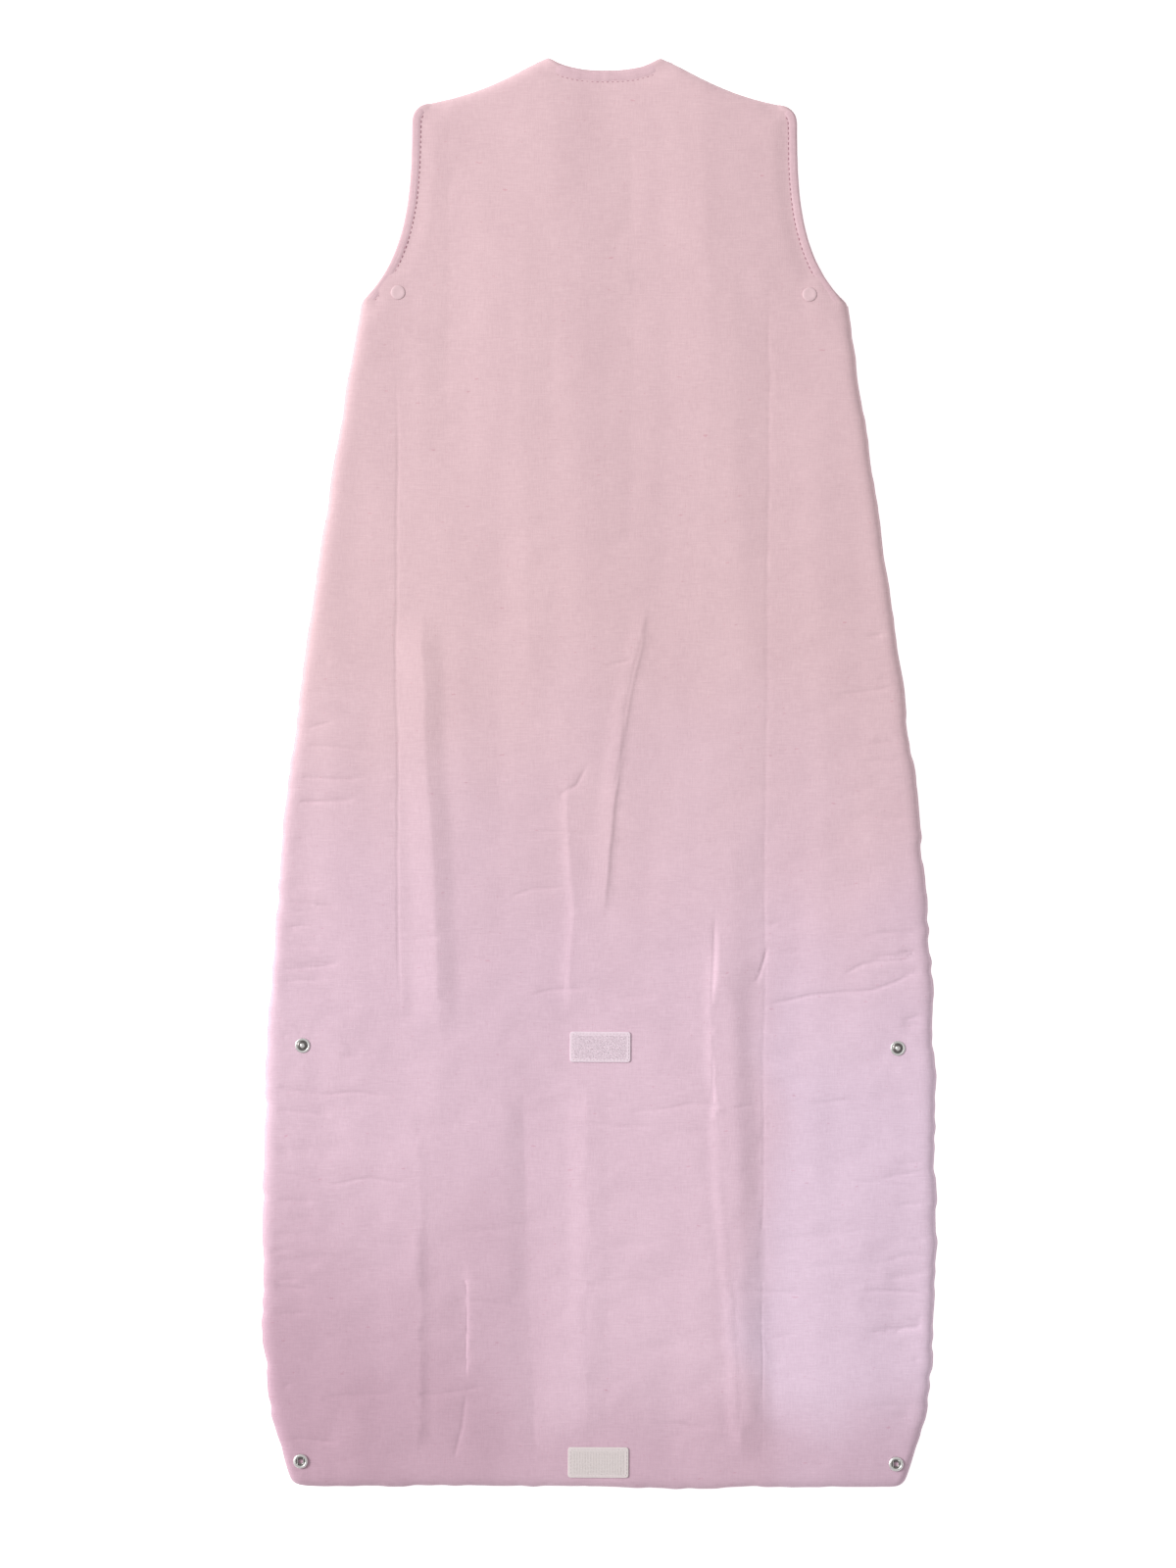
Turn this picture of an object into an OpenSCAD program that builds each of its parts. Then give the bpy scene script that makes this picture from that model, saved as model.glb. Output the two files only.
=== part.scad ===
// Sleeveless padded baby sleeping bag. It lies flat on its front with its back face up.
// The foot end folds up over the back along one line, to make the bag shorter, and two
// press studs and a hook-and-loop patch hold it there. A two-way zip on the centre line
// of the front opens the bag. Every padded panel is an outer cloth, a wadding and a
// lining. Each panel is in two parts that meet on the fold line, an upper and a foot part.
// Millimetres. X runs across the bag, Y towards the neck and Z up, out of the back face.

/* [Body] */
// Length from the hem to the tops of the shoulders
bag_length = 1100; // [900:10:1200]
// Width at the underarms
chest_w = 374; // [330:2:420]
// Greatest width, at the hips
hip_w = 517; // [460:1:560]
// Width of the hem between its corners
hem_w = 474; // [420:2:520]
// Distance from the shoulder tops down to the widest part
hip_drop = 850; // [700:10:900]
// Height above the hem where the sides start to curve in
corner_h = 150; // [80:5:180]

/* [Neck and armholes] */
// Width of the neck between the shoulder tops
neck_w = 86; // [70:1:120]
// Width between the shoulder tips
shoulder_w = 294; // [240:2:330]
// Fall of the shoulder seam from the neck to the tip
shoulder_drop = 43; // [20:1:60]
// Distance from the shoulder tops down to the underarm
armhole_drop = 190; // [150:5:230]
// Depth of the neckline at the back
back_neck_drop = 11; // [5:1:30]
// Depth of the neckline at the front
front_neck_drop = 50; // [30:1:80]
// Width of the binding round each armhole
armhole_binding_w = 8; // [6:0.5:14]
// Width of the binding round the neck
neck_binding_w = 10; // [6:0.5:14]

/* [Layers] */
// Thickness of the outer cloth, and of the lining
cloth_t = 0.7; // [0.5:0.1:1]
// Thickness of the wadding
wadding_t = 4.6; // [3:0.2:8]
// Space between the front and the back linings
cavity_h = 8; // [6:0.5:14]
// Width of the sewn edge along the closed seams
rim_w = 6; // [4:0.5:8]

/* [Length fold] */
// Height of the fold line above the hem
fold_h = 180; // [140:5:220]
// Gap between the upper and the foot parts on the fold line
fold_gap = 0.3; // [0.2:0.1:0.6]

/* [Press studs] */
// Distance from the centre line to each metal press stud
stud_x = 228.5; // [200:0.5:236]
// Height of the hem sockets above the hem
socket_h = 20.5; // [16:0.5:40]
// Outside diameter of a metal press stud
stud_d = 11.4; // [9:0.1:15]
// Diameter of the post of a stud
post_d = 3.5; // [3:0.1:4.5]
// Height of the post above its flange
post_h = 2; // [1.5:0.1:2.5]
// Distance from the centre line to each underarm snap
underarm_snap_x = 158; // [145:1:165]
// Distance of each underarm snap above the underarm
underarm_snap_h = 8; // [5:1:15]
// Diameter of an underarm snap cap
cap_d = 11; // [9:0.5:14]

/* [Hook and loop] */
// Length of each patch, across the bag
patch_l = 46.6; // [30:0.2:60]
// Width of each patch
patch_w = 23.5; // [16:0.5:30]
// Thickness of each patch
patch_t = 1.4; // [1:0.1:1.5]

/* [Zip] */
// Width of the gap between the two fronts
zip_gap = 14; // [12:0.5:16]
// Width of each zip tape outside the teeth
tape_w = 13; // [11:0.5:16]
// Width and thickness of one row of teeth
teeth_w = 2.7; // [2:0.1:3.2]
teeth_t = 1.8; // [1.4:0.1:2]
// Gap between the two rows of teeth, which the wedge of each slider runs in
teeth_gap = 1; // [0.8:0.1:1.4]
// Width and length of a slider
slider_w = 9.6; // [8:0.2:11]
slider_l = 12; // [9:0.5:13]
// Length of a pull tab
pull_l = 22; // [18:1:24]

/* [Labels] */
// Width and length of the care label
care_w = 18; // [12:1:25]
care_l = 40; // [30:1:60]
// Width and height of the neck label
neck_label_w = 34; // [24:1:45]
neck_label_h = 18; // [12:1:24]

/* [Hidden] */
$fn = 48;

rose = [0.90, 0.76, 0.80];
fleece = [0.96, 0.95, 0.93];
white = [0.95, 0.93, 0.92];
steel = [0.72, 0.72, 0.74];

panel_t = 2 * cloth_t + wadding_t;
back_z = 2 * panel_t + cavity_h;
mid_z = back_z / 2;
top_y = bag_length / 2;
hem_y = -bag_length / 2;
fold_y = hem_y + fold_h;
underarm_y = top_y - armhole_drop;
shoulder_x = shoulder_w / 2;
shoulder_slope = shoulder_drop / (shoulder_x - neck_w / 2);
socket_y = hem_y + socket_h;
stud_y = 2 * fold_y - socket_y;
snap_y = underarm_y + underarm_snap_h;
far = 400;

// The halves of a press stud, up from the cloth. The socket drops over the post as the
// foot folds over, and leaves 0.3 above the flange.
flange_t = 0.8;
socket_t = 2.1;
ring_t = 0.8;
sleeve_r = 3.4;
sleeve_bore_r = 2.7;
prong_r = 1.2;
cap_t = 1.6;

// Depths of the zip, up from the front face.
tape_top_z = panel_t - cloth_t;
tape_t = 0.5;
tape_z = tape_top_z - tape_t;
teeth_z = tape_z - teeth_t;
teeth_x = teeth_gap / 2;
plate_t = 0.9;
plate_z = teeth_z - 0.2 - plate_t;
back_plate_z = tape_top_z + 0.2;
back_plate_t = 0.8;
underlay_z = back_plate_z + back_plate_t + 0.3;
underlay_t = 0.7;
underlay_w = 32;
front_neck_y = top_y - front_neck_drop;
teeth_top_y = front_neck_y - 16;
stop_l = 3;
garage_l = 15;
garage_flap_l = 31;
top_slider_y = front_neck_y - 30;
bottom_slider_y = hem_y + 16;

// The crown of a slider and the pull tab whose bar runs under it.
crown_w = 2.4;
crown_l = 7.6;
crown_t = 0.68;
crown_z = 0.3;
leg_l = 1;
bar_r = 0.35;
bar_z = 1.45;
bar_back = 2.3;
eye_w = 3;
eye_l = 6.5;
pull_w = 5.4;

// A cubic curve from a to d in n steps, pulled towards b and c.
function bezier(a, b, c, d, n) = [
    for (i = [0 : n])
        let (t = i / n, s = 1 - t)
            s * s * s * a + 3 * s * s * t * b + 3 * s * t * t * c + t * t * t * d
];
function unit(v) = v / norm(v);
function left_of(v) = [-v[1], v[0]];
function at(p, i) = p[max(0, min(i, len(p) - 1))];
// The curve p moved sideways by d, to the left of its direction.
function shifted(p, d) = [
    for (i = [0 : len(p) - 1]) p[i] + d * left_of(unit(at(p, i + 1) - at(p, i - 1)))
];
function flipped(p) = [for (i = [len(p) - 1 : -1 : 0]) [-p[i][0], p[i][1]]];

// The right edge of the bag, down the side seam, round the corner and along the hem.
side_curve = bezier(
    [chest_w / 2, underarm_y], [chest_w / 2 + 41, underarm_y - 260],
    [hip_w / 2, top_y - hip_drop + 220], [hip_w / 2, top_y - hip_drop], 14
);
corner_curve = bezier(
    [hip_w / 2, hem_y + corner_h], [hip_w / 2, hem_y + 0.6 * corner_h],
    [hip_w / 2 - 6.5, hem_y + corner_h / 3], [hem_w / 2, hem_y + 7], 7
);
edge_curve = concat(side_curve, corner_curve, [[hem_w / 2 - 9, hem_y], [0, hem_y]]);

// The right armhole, from the shoulder seam round the tip and down to the underarm.
tip_curve = bezier(
    [shoulder_x - 13, top_y - shoulder_drop + 7.5], [shoulder_x - 3, top_y - shoulder_drop + 3.5],
    [shoulder_x, top_y - shoulder_drop + 1], [shoulder_x + 0.3, top_y - shoulder_drop - 7], 4
);
arm_curve = bezier(
    [shoulder_x + 0.3, top_y - shoulder_drop - 7], [shoulder_x + 0.5, underarm_y + 95],
    [shoulder_x, underarm_y + 35], [chest_w / 2, underarm_y], 14
);
armhole_curve = concat(tip_curve, [for (i = [1 : 14]) arm_curve[i]]);

// The right half of each neckline, out from the centre line to the shoulder top.
back_neck_curve = bezier(
    [0, top_y - back_neck_drop], [neck_w / 4, top_y - back_neck_drop],
    [0.8 * neck_w / 2, top_y - 8], [neck_w / 2, top_y], 6
);
front_neck_curve = bezier(
    [0, front_neck_y], [0.6 * neck_w / 2, front_neck_y],
    [0.95 * neck_w / 2, front_neck_y + 18], [neck_w / 2, top_y], 10
);

function shoulder_line(x, inset) =
    top_y - (x - neck_w / 2) * shoulder_slope - inset * norm([1, shoulder_slope]);

// The flat shape of the bag, with its closed seams moved in and its armholes uncut.
module body_2d(inset) {
    reach = chest_w / 2;
    top = [[0, shoulder_line(0, inset)], [reach, shoulder_line(reach, inset)]];
    right = concat(top, [[reach - inset, underarm_y + 30]], shifted(edge_curve, -inset));
    polygon(concat(right, flipped(right)));
}

// What lies outside the right armhole, when its edge is moved in by depth.
module armhole_cut_2d(depth) {
    edge = shifted(armhole_curve, -depth);
    first = edge[0];
    last = edge[len(edge) - 1];
    polygon(concat(
        [[first[0], first[1] + 60]], edge,
        [last + [40, -35], [far, last[1] - 35], [far, first[1] + 60]]
    ));
}

// What lies above a neckline, when its edge is moved down by depth.
module neck_cut_2d(curve, depth) {
    edge = shifted(concat(flipped(curve), [for (i = [1 : len(curve) - 1]) curve[i]]), -depth);
    last = edge[len(edge) - 1];
    polygon(concat([[-last[0], last[1] + 60]], edge, [[last[0], last[1] + 60]]));
}

// A whole panel, moved in on its closed seams and at its bound edges.
module panel_2d(neck_curve, inset) {
    difference() {
        body_2d(inset);
        armhole_cut_2d(armhole_binding_w);
        mirror([1, 0]) armhole_cut_2d(armhole_binding_w);
        neck_cut_2d(neck_curve, neck_binding_w);
    }
}

// The strip of a panel that lies along its closed seams.
module rim_2d(neck_curve, from, to) {
    difference() {
        panel_2d(neck_curve, from);
        panel_2d(neck_curve, to);
    }
}

// The part of the plane above the fold line, or below it.
module upper_2d() translate([-far, fold_y + fold_gap / 2]) square([2 * far, bag_length]);
module foot_2d() translate([-far, fold_y - fold_gap / 2 - bag_length]) square([2 * far, bag_length]);

// The part of the plane on the right of the zip, from a distance out.
module right_2d(from) translate([from, -bag_length]) square([far, 2 * bag_length]);

module layer(low, high) translate([0, 0, low]) linear_extrude(high - low) children();

module on_both_sides() {
    children();
    mirror([1, 0, 0]) children();
}

// Everything that a snap or stud passes through in the back.
module back_holes() {
    on_both_sides() {
        translate([underarm_snap_x, snap_y, mid_z]) cylinder(r = prong_r + 0.2, h = back_z);
        translate([stud_x, stud_y, mid_z]) cylinder(r = sleeve_r + 0.2, h = back_z);
        translate([stud_x, socket_y, mid_z]) cylinder(r = sleeve_r + 0.2, h = back_z);
    }
}

// The same in the right front, with a seat for the cap.
module front_holes() {
    translate([underarm_snap_x, snap_y, -1]) cylinder(r = prong_r + 0.2, h = mid_z);
    translate([underarm_snap_x, snap_y, -1]) cylinder(d = cap_d + 0.4, h = cap_t + 1.2);
}

// The three layers of the back. The child of each is the zone it fills.
module back_outer_layer() {
    difference() {
        union() {
            layer(back_z - cloth_t, back_z) intersection() {
                panel_2d(back_neck_curve, 0);
                children();
            }
            layer(mid_z, back_z - cloth_t) intersection() {
                rim_2d(back_neck_curve, 0, cloth_t);
                children();
            }
        }
        back_holes();
    }
}
module back_wadding_layer() {
    difference() {
        layer(back_z - cloth_t - wadding_t, back_z - cloth_t) intersection() {
            panel_2d(back_neck_curve, cloth_t);
            children();
        }
        back_holes();
    }
}
module back_lining_layer() {
    difference() {
        layer(back_z - panel_t, back_z - panel_t + cloth_t) intersection() {
            panel_2d(back_neck_curve, cloth_t);
            children();
        }
        back_holes();
    }
}

// The three layers of the right front. Its outer cloth turns in along the zip.
module front_outer_layer() {
    edge = zip_gap / 2;
    difference() {
        union() {
            layer(0, cloth_t) intersection() {
                panel_2d(front_neck_curve, 0);
                right_2d(edge);
                children();
            }
            layer(cloth_t, mid_z) intersection() {
                rim_2d(front_neck_curve, 0, cloth_t);
                right_2d(edge + tape_w);
                children();
            }
            layer(cloth_t, tape_z) intersection() {
                panel_2d(front_neck_curve, 0);
                right_2d(edge);
                translate([0, -bag_length]) square([edge + cloth_t, 2 * bag_length]);
                children();
            }
        }
        front_holes();
    }
}
module front_wadding_layer() {
    edge = zip_gap / 2;
    difference() {
        union() {
            layer(cloth_t, tape_z) intersection() {
                panel_2d(front_neck_curve, cloth_t);
                right_2d(edge + cloth_t);
                children();
            }
            layer(tape_z, tape_top_z) intersection() {
                panel_2d(front_neck_curve, cloth_t);
                right_2d(teeth_x + teeth_w + tape_w + 0.5);
                children();
            }
        }
        front_holes();
    }
}
module front_lining_layer() {
    difference() {
        layer(tape_top_z, panel_t) intersection() {
            panel_2d(front_neck_curve, cloth_t);
            right_2d(zip_gap / 2);
            children();
        }
        front_holes();
    }
}

// The sewn edges between the front and the back, where the layers are gathered together.
module seam_2d() {
    difference() {
        body_2d(cloth_t);
        body_2d(rim_w);
        armhole_cut_2d(armhole_binding_w);
        mirror([1, 0]) armhole_cut_2d(armhole_binding_w);
        neck_cut_2d(front_neck_curve, neck_binding_w);
    }
}
module right_seam(low, high, from) {
    layer(panel_t, back_z - panel_t) intersection() {
        seam_2d();
        translate([from, low]) square([far, high - low]);
    }
}

// A binding is one band through the back and the front, joined at its ends.
module right_armhole_band() {
    module band_2d(inset) intersection() {
        body_2d(inset);
        difference() {
            armhole_cut_2d(armhole_binding_w);
            armhole_cut_2d(0);
        }
    }
    layer(0, panel_t) band_2d(0);
    layer(back_z - panel_t, back_z) band_2d(0);
    layer(panel_t, back_z - panel_t) difference() {
        band_2d(0);
        band_2d(rim_w);
    }
}
module neck_band_2d(curve, inset) {
    intersection() {
        body_2d(inset);
        difference() {
            neck_cut_2d(curve, neck_binding_w);
            neck_cut_2d(curve, 0);
        }
    }
}

// The right-hand parts of the zip between two heights.
module tape_strip(low, high) {
    translate([teeth_x + 0.1, low, tape_z]) cube([teeth_w + tape_w - 0.1, high - low, tape_t]);
}
module teeth_strip(low, high) {
    translate([teeth_x, low, teeth_z]) cube([teeth_w, high - low, teeth_t]);
}
module stop_pair(low) {
    on_both_sides() translate([teeth_x, low, teeth_z - 0.3]) cube([teeth_w + 0.3, stop_l, teeth_t + 0.3]);
}
module underlay_strip(low, high) {
    translate([-underlay_w / 2, low, underlay_z]) cube([underlay_w, high - low, underlay_t]);
    translate([-underlay_w / 2, low, panel_t]) cube([4, high - low, underlay_z - panel_t]);
}

// A slider with its wide end, where the tapes part, towards +Y.
module slider_body() {
    half = slider_l / 2;
    wide = slider_w / 2;
    narrow = wide - 0.9;
    outline = [[-narrow, -half], [narrow, -half], [wide, 0], [wide, half], [-wide, half], [-wide, 0]];
    layer(plate_z, plate_z + plate_t) polygon(outline);
    layer(back_plate_z, back_plate_z + back_plate_t) polygon(outline);
    layer(plate_z + plate_t, back_plate_z)
        translate([-0.35, half - 4]) square([0.7, 3]);
    on_both_sides() layer(plate_z + plate_t, tape_z - 0.4)
        polygon([[narrow - 0.5, -half], [narrow, -half], [wide, 0], [wide, half], [wide - 0.6, half],
                 [wide - 0.6, 0]]);
    layer(crown_z, crown_z + crown_t) square([crown_w, crown_l], center = true);
    for (end = [-1, 1])
        translate([-crown_w / 2, end * (crown_l - leg_l) / 2 - leg_l / 2, crown_z + crown_t])
            cube([crown_w, leg_l, plate_z - crown_z - crown_t]);
}

// A pull tab that hangs from the bar towards -Y, with an eye that the crown passes through.
module pull_body() {
    tip_r = pull_w / 2;
    translate([-pull_w / 2, -bar_back, bar_z]) rotate([0, 90, 0]) cylinder(r = bar_r, h = pull_w);
    translate([0, -bar_back, 0]) layer(bar_z - bar_r, bar_z + bar_r) difference() {
        union() {
            translate([-pull_w / 2, -pull_l + tip_r]) square([pull_w, pull_l - tip_r]);
            translate([0, -pull_l + tip_r]) circle(r = tip_r);
        }
        translate([-eye_w / 2, -eye_l]) square([eye_w, eye_l + 1]);
        translate([0, -pull_l + tip_r]) circle(r = 1.2);
    }
}

module stud_body() {
    cylinder(d = stud_d, h = flange_t);
    cylinder(d = post_d, h = flange_t + post_h);
}
module socket_body() {
    difference() {
        cylinder(d = stud_d, h = socket_t);
        translate([0, 0, -1]) cylinder(d = post_d + 0.2, h = socket_t + 2);
    }
}
// The ring on the lining side, with its prongs drawn together as one sleeve.
module prong_ring_body() {
    difference() {
        union() {
            translate([0, 0, -ring_t]) cylinder(d = stud_d - 1, h = ring_t);
            cylinder(r = sleeve_r, h = panel_t);
        }
        translate([0, 0, -ring_t - 1]) cylinder(r = sleeve_bore_r, h = panel_t + ring_t + 2);
    }
}
module patch_body() {
    corner = 2;
    linear_extrude(patch_t) union() {
        square([patch_l, patch_w - 2 * corner], center = true);
        square([patch_l - 2 * corner, patch_w], center = true);
        for (x = [-1, 1], y = [-1, 1])
            translate([x * (patch_l / 2 - corner), y * (patch_w / 2 - corner)]) circle(r = corner);
    }
}

module back_outer() color(rose) back_outer_layer() upper_2d();
module back_wadding() color(fleece) back_wadding_layer() upper_2d();
module back_lining() color(rose) back_lining_layer() upper_2d();
module front_right_outer() color(rose) front_outer_layer() upper_2d();
module front_right_wadding() color(fleece) front_wadding_layer() upper_2d();
module front_right_lining() color(rose) front_lining_layer() upper_2d();
module front_left_outer() color(rose) mirror([1, 0, 0]) front_outer_layer() upper_2d();
module front_left_wadding() color(fleece) mirror([1, 0, 0]) front_wadding_layer() upper_2d();
module front_left_lining() color(rose) mirror([1, 0, 0]) front_lining_layer() upper_2d();

module shoulder_seams() color(rose) on_both_sides() right_seam(underarm_y + 60, top_y + 10, 0);
module right_side_seam() color(rose) right_seam(fold_y + fold_gap / 2, underarm_y + 30, 0);
module left_side_seam() color(rose) mirror([1, 0, 0])
    right_seam(fold_y + fold_gap / 2, underarm_y + 30, 0);

module neck_binding() color(rose) {
    layer(back_z - panel_t, back_z) neck_band_2d(back_neck_curve, 0);
    on_both_sides() layer(0, panel_t) intersection() {
        neck_band_2d(front_neck_curve, 0);
        right_2d(zip_gap / 2);
    }
    layer(panel_t, back_z - panel_t) difference() {
        intersection() {
            neck_band_2d(back_neck_curve, 0);
            neck_band_2d(front_neck_curve, 0);
        }
        neck_band_2d(back_neck_curve, rim_w);
    }
}
module right_armhole_binding() color(rose) right_armhole_band();
module left_armhole_binding() color(rose) mirror([1, 0, 0]) right_armhole_band();

module zip_tape_right() color(rose) tape_strip(fold_y + fold_gap / 2, front_neck_y - neck_binding_w);
module zip_tape_left() color(rose) mirror([1, 0, 0])
    tape_strip(fold_y + fold_gap / 2, front_neck_y - neck_binding_w);
module zip_teeth_right() color(white) teeth_strip(fold_y + fold_gap / 2, teeth_top_y);
module zip_teeth_left() color(white) mirror([1, 0, 0]) teeth_strip(fold_y + fold_gap / 2, teeth_top_y);
module zip_top_stops() color(steel) stop_pair(teeth_top_y);
// A cloth tab that caps the top of the zip, inside, over the edge and a little way outside.
module zip_garage() color(rose) {
    width = zip_gap - 1;
    wall_y = front_neck_y + 0.2;
    top_z = underlay_z + underlay_t;
    translate([-width / 2, wall_y - garage_l, 0]) cube([width, garage_l + cloth_t, cloth_t]);
    translate([-width / 2, wall_y, 0]) cube([width, cloth_t, top_z]);
    translate([-width, wall_y - garage_flap_l, underlay_z])
        cube([2 * width, garage_flap_l + cloth_t, underlay_t]);
}
module zip_underlay() color(rose)
    underlay_strip(fold_y + fold_gap / 2, front_neck_y - garage_flap_l - 0.3);

module underarm_back_caps() color(rose) on_both_sides() translate([underarm_snap_x, snap_y, 0]) {
    translate([0, 0, back_z]) cylinder(d1 = cap_d, d2 = cap_d - 3, h = cap_t);
    translate([0, 0, back_z - panel_t - 1.6]) cylinder(r = prong_r, h = panel_t + 1.6);
}
module underarm_sockets() color(rose) on_both_sides()
    translate([underarm_snap_x, snap_y, back_z - panel_t - 1.8]) difference() {
        cylinder(d = cap_d - 1, h = 1.8);
        translate([0, 0, -1]) cylinder(r = prong_r + 0.1, h = 4);
    }
module underarm_front_caps() color(rose) on_both_sides() translate([underarm_snap_x, snap_y, 0]) {
    cylinder(d1 = cap_d - 2, d2 = cap_d, h = cap_t);
    translate([0, 0, cap_t]) cylinder(r = prong_r, h = panel_t - cap_t);
}
module underarm_studs() color(rose) on_both_sides() translate([underarm_snap_x, snap_y, panel_t]) {
    cylinder(d = cap_d - 1, h = 1.2);
    cylinder(d = post_d, h = 3.2);
}

module back_press_studs() color(steel) on_both_sides()
    translate([stud_x, stud_y, back_z]) stud_body();
module back_stud_prong_rings() color(steel) on_both_sides()
    translate([stud_x, stud_y, back_z - panel_t]) prong_ring_body();
module loop_patch() color(white) translate([0, stud_y, back_z]) patch_body();

module neck_label() color(white)
    translate([-neck_label_w / 2, top_y - 24 - neck_label_h, back_z - panel_t - 0.6])
        cube([neck_label_w, neck_label_h, 0.6]);
module care_label() color(white)
    translate([-hip_w / 2 + 23.5, -60, mid_z - 0.3]) cube([care_w, care_l, 0.6]);

module foot_back_outer() color(rose) back_outer_layer() foot_2d();
module foot_back_wadding() color(fleece) back_wadding_layer() foot_2d();
module foot_back_lining() color(rose) back_lining_layer() foot_2d();
module foot_front_right_outer() color(rose) front_outer_layer() foot_2d();
module foot_front_right_wadding() color(fleece) front_wadding_layer() foot_2d();
module foot_front_right_lining() color(rose) front_lining_layer() foot_2d();
module foot_front_left_outer() color(rose) mirror([1, 0, 0]) front_outer_layer() foot_2d();
module foot_front_left_wadding() color(fleece) mirror([1, 0, 0]) front_wadding_layer() foot_2d();
module foot_front_left_lining() color(rose) mirror([1, 0, 0]) front_lining_layer() foot_2d();

module foot_right_side_seam() color(rose)
    right_seam(hem_y - 10, fold_y - fold_gap / 2, hem_w / 2 - 22);
module foot_left_side_seam() color(rose) mirror([1, 0, 0])
    right_seam(hem_y - 10, fold_y - fold_gap / 2, hem_w / 2 - 22);
module right_hem_2d(from) {
    intersection() {
        seam_2d();
        translate([from, hem_y - 10]) square([hem_w / 2 - 22 - from, 60]);
    }
}
module hem_seam() color(rose) on_both_sides() {
    layer(mid_z, back_z - panel_t) right_hem_2d(0);
    layer(panel_t, mid_z) right_hem_2d(underlay_w / 2 + 4);
}

module foot_zip_tape_right() color(rose) tape_strip(hem_y + 1, fold_y - fold_gap / 2);
module foot_zip_tape_left() color(rose) mirror([1, 0, 0]) tape_strip(hem_y + 1, fold_y - fold_gap / 2);
module foot_zip_teeth_right() color(white) teeth_strip(hem_y + 5, fold_y - fold_gap / 2);
module foot_zip_teeth_left() color(white) mirror([1, 0, 0])
    teeth_strip(hem_y + 5, fold_y - fold_gap / 2);
module foot_zip_bottom_stops() color(steel) stop_pair(hem_y + 5 - stop_l);
module foot_zip_underlay() color(rose) underlay_strip(hem_y + rim_w + 2, fold_y - fold_gap / 2);
module hem_press_sockets() color(steel) on_both_sides()
    translate([stud_x, socket_y, back_z]) socket_body();
module hem_socket_prong_rings() color(steel) on_both_sides()
    translate([stud_x, socket_y, back_z - panel_t]) prong_ring_body();
module hook_patch() color(white) translate([0, socket_y, back_z]) patch_body();

module top_slider() color(steel) translate([0, top_slider_y, 0]) slider_body();
module top_pull_tab() color(steel) translate([0, top_slider_y, 0]) pull_body();
module bottom_slider() color(steel) translate([0, bottom_slider_y, 0]) mirror([0, 1, 0]) slider_body();
module bottom_pull_tab() color(steel) translate([0, bottom_slider_y, 0]) mirror([0, 1, 0]) pull_body();

back_outer();
back_wadding();
back_lining();
front_left_outer();
front_left_wadding();
front_left_lining();
front_right_outer();
front_right_wadding();
front_right_lining();
shoulder_seams();
left_side_seam();
right_side_seam();
neck_binding();
left_armhole_binding();
right_armhole_binding();
zip_tape_left();
zip_tape_right();
zip_teeth_left();
zip_teeth_right();
zip_top_stops();
zip_garage();
zip_underlay();
underarm_back_caps();
underarm_sockets();
underarm_front_caps();
underarm_studs();
back_press_studs();
back_stud_prong_rings();
loop_patch();
neck_label();
care_label();
foot_back_outer();
foot_back_wadding();
foot_back_lining();
foot_front_left_outer();
foot_front_left_wadding();
foot_front_left_lining();
foot_front_right_outer();
foot_front_right_wadding();
foot_front_right_lining();
foot_left_side_seam();
foot_right_side_seam();
hem_seam();
foot_zip_tape_left();
foot_zip_tape_right();
foot_zip_teeth_left();
foot_zip_teeth_right();
foot_zip_bottom_stops();
foot_zip_underlay();
hem_press_sockets();
hem_socket_prong_rings();
hook_patch();
top_slider();
top_pull_tab();
bottom_slider();
bottom_pull_tab();
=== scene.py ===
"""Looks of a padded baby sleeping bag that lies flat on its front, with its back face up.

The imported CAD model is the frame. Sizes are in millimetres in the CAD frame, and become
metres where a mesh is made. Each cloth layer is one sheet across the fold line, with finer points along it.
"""

import bmesh
import bpy
import math
import numpy as np
from mathutils import Matrix, Vector
from mathutils.geometry import delaunay_2d_cdt


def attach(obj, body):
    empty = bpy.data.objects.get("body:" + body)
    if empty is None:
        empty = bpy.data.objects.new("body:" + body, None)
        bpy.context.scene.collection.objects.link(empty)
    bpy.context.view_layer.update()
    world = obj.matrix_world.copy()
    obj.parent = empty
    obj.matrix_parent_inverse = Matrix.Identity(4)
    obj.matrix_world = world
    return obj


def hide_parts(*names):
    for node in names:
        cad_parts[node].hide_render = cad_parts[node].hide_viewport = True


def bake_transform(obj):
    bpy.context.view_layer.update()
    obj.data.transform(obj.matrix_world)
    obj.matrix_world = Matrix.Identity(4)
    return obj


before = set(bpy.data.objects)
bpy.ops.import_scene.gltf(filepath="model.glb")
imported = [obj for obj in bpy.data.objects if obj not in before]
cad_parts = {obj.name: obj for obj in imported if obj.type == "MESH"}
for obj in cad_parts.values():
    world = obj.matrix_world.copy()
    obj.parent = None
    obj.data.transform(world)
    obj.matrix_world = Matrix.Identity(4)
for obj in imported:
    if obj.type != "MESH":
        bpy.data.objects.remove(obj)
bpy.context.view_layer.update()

MM = 0.001
ACROSS = (1.0, 0, 0)

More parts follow.
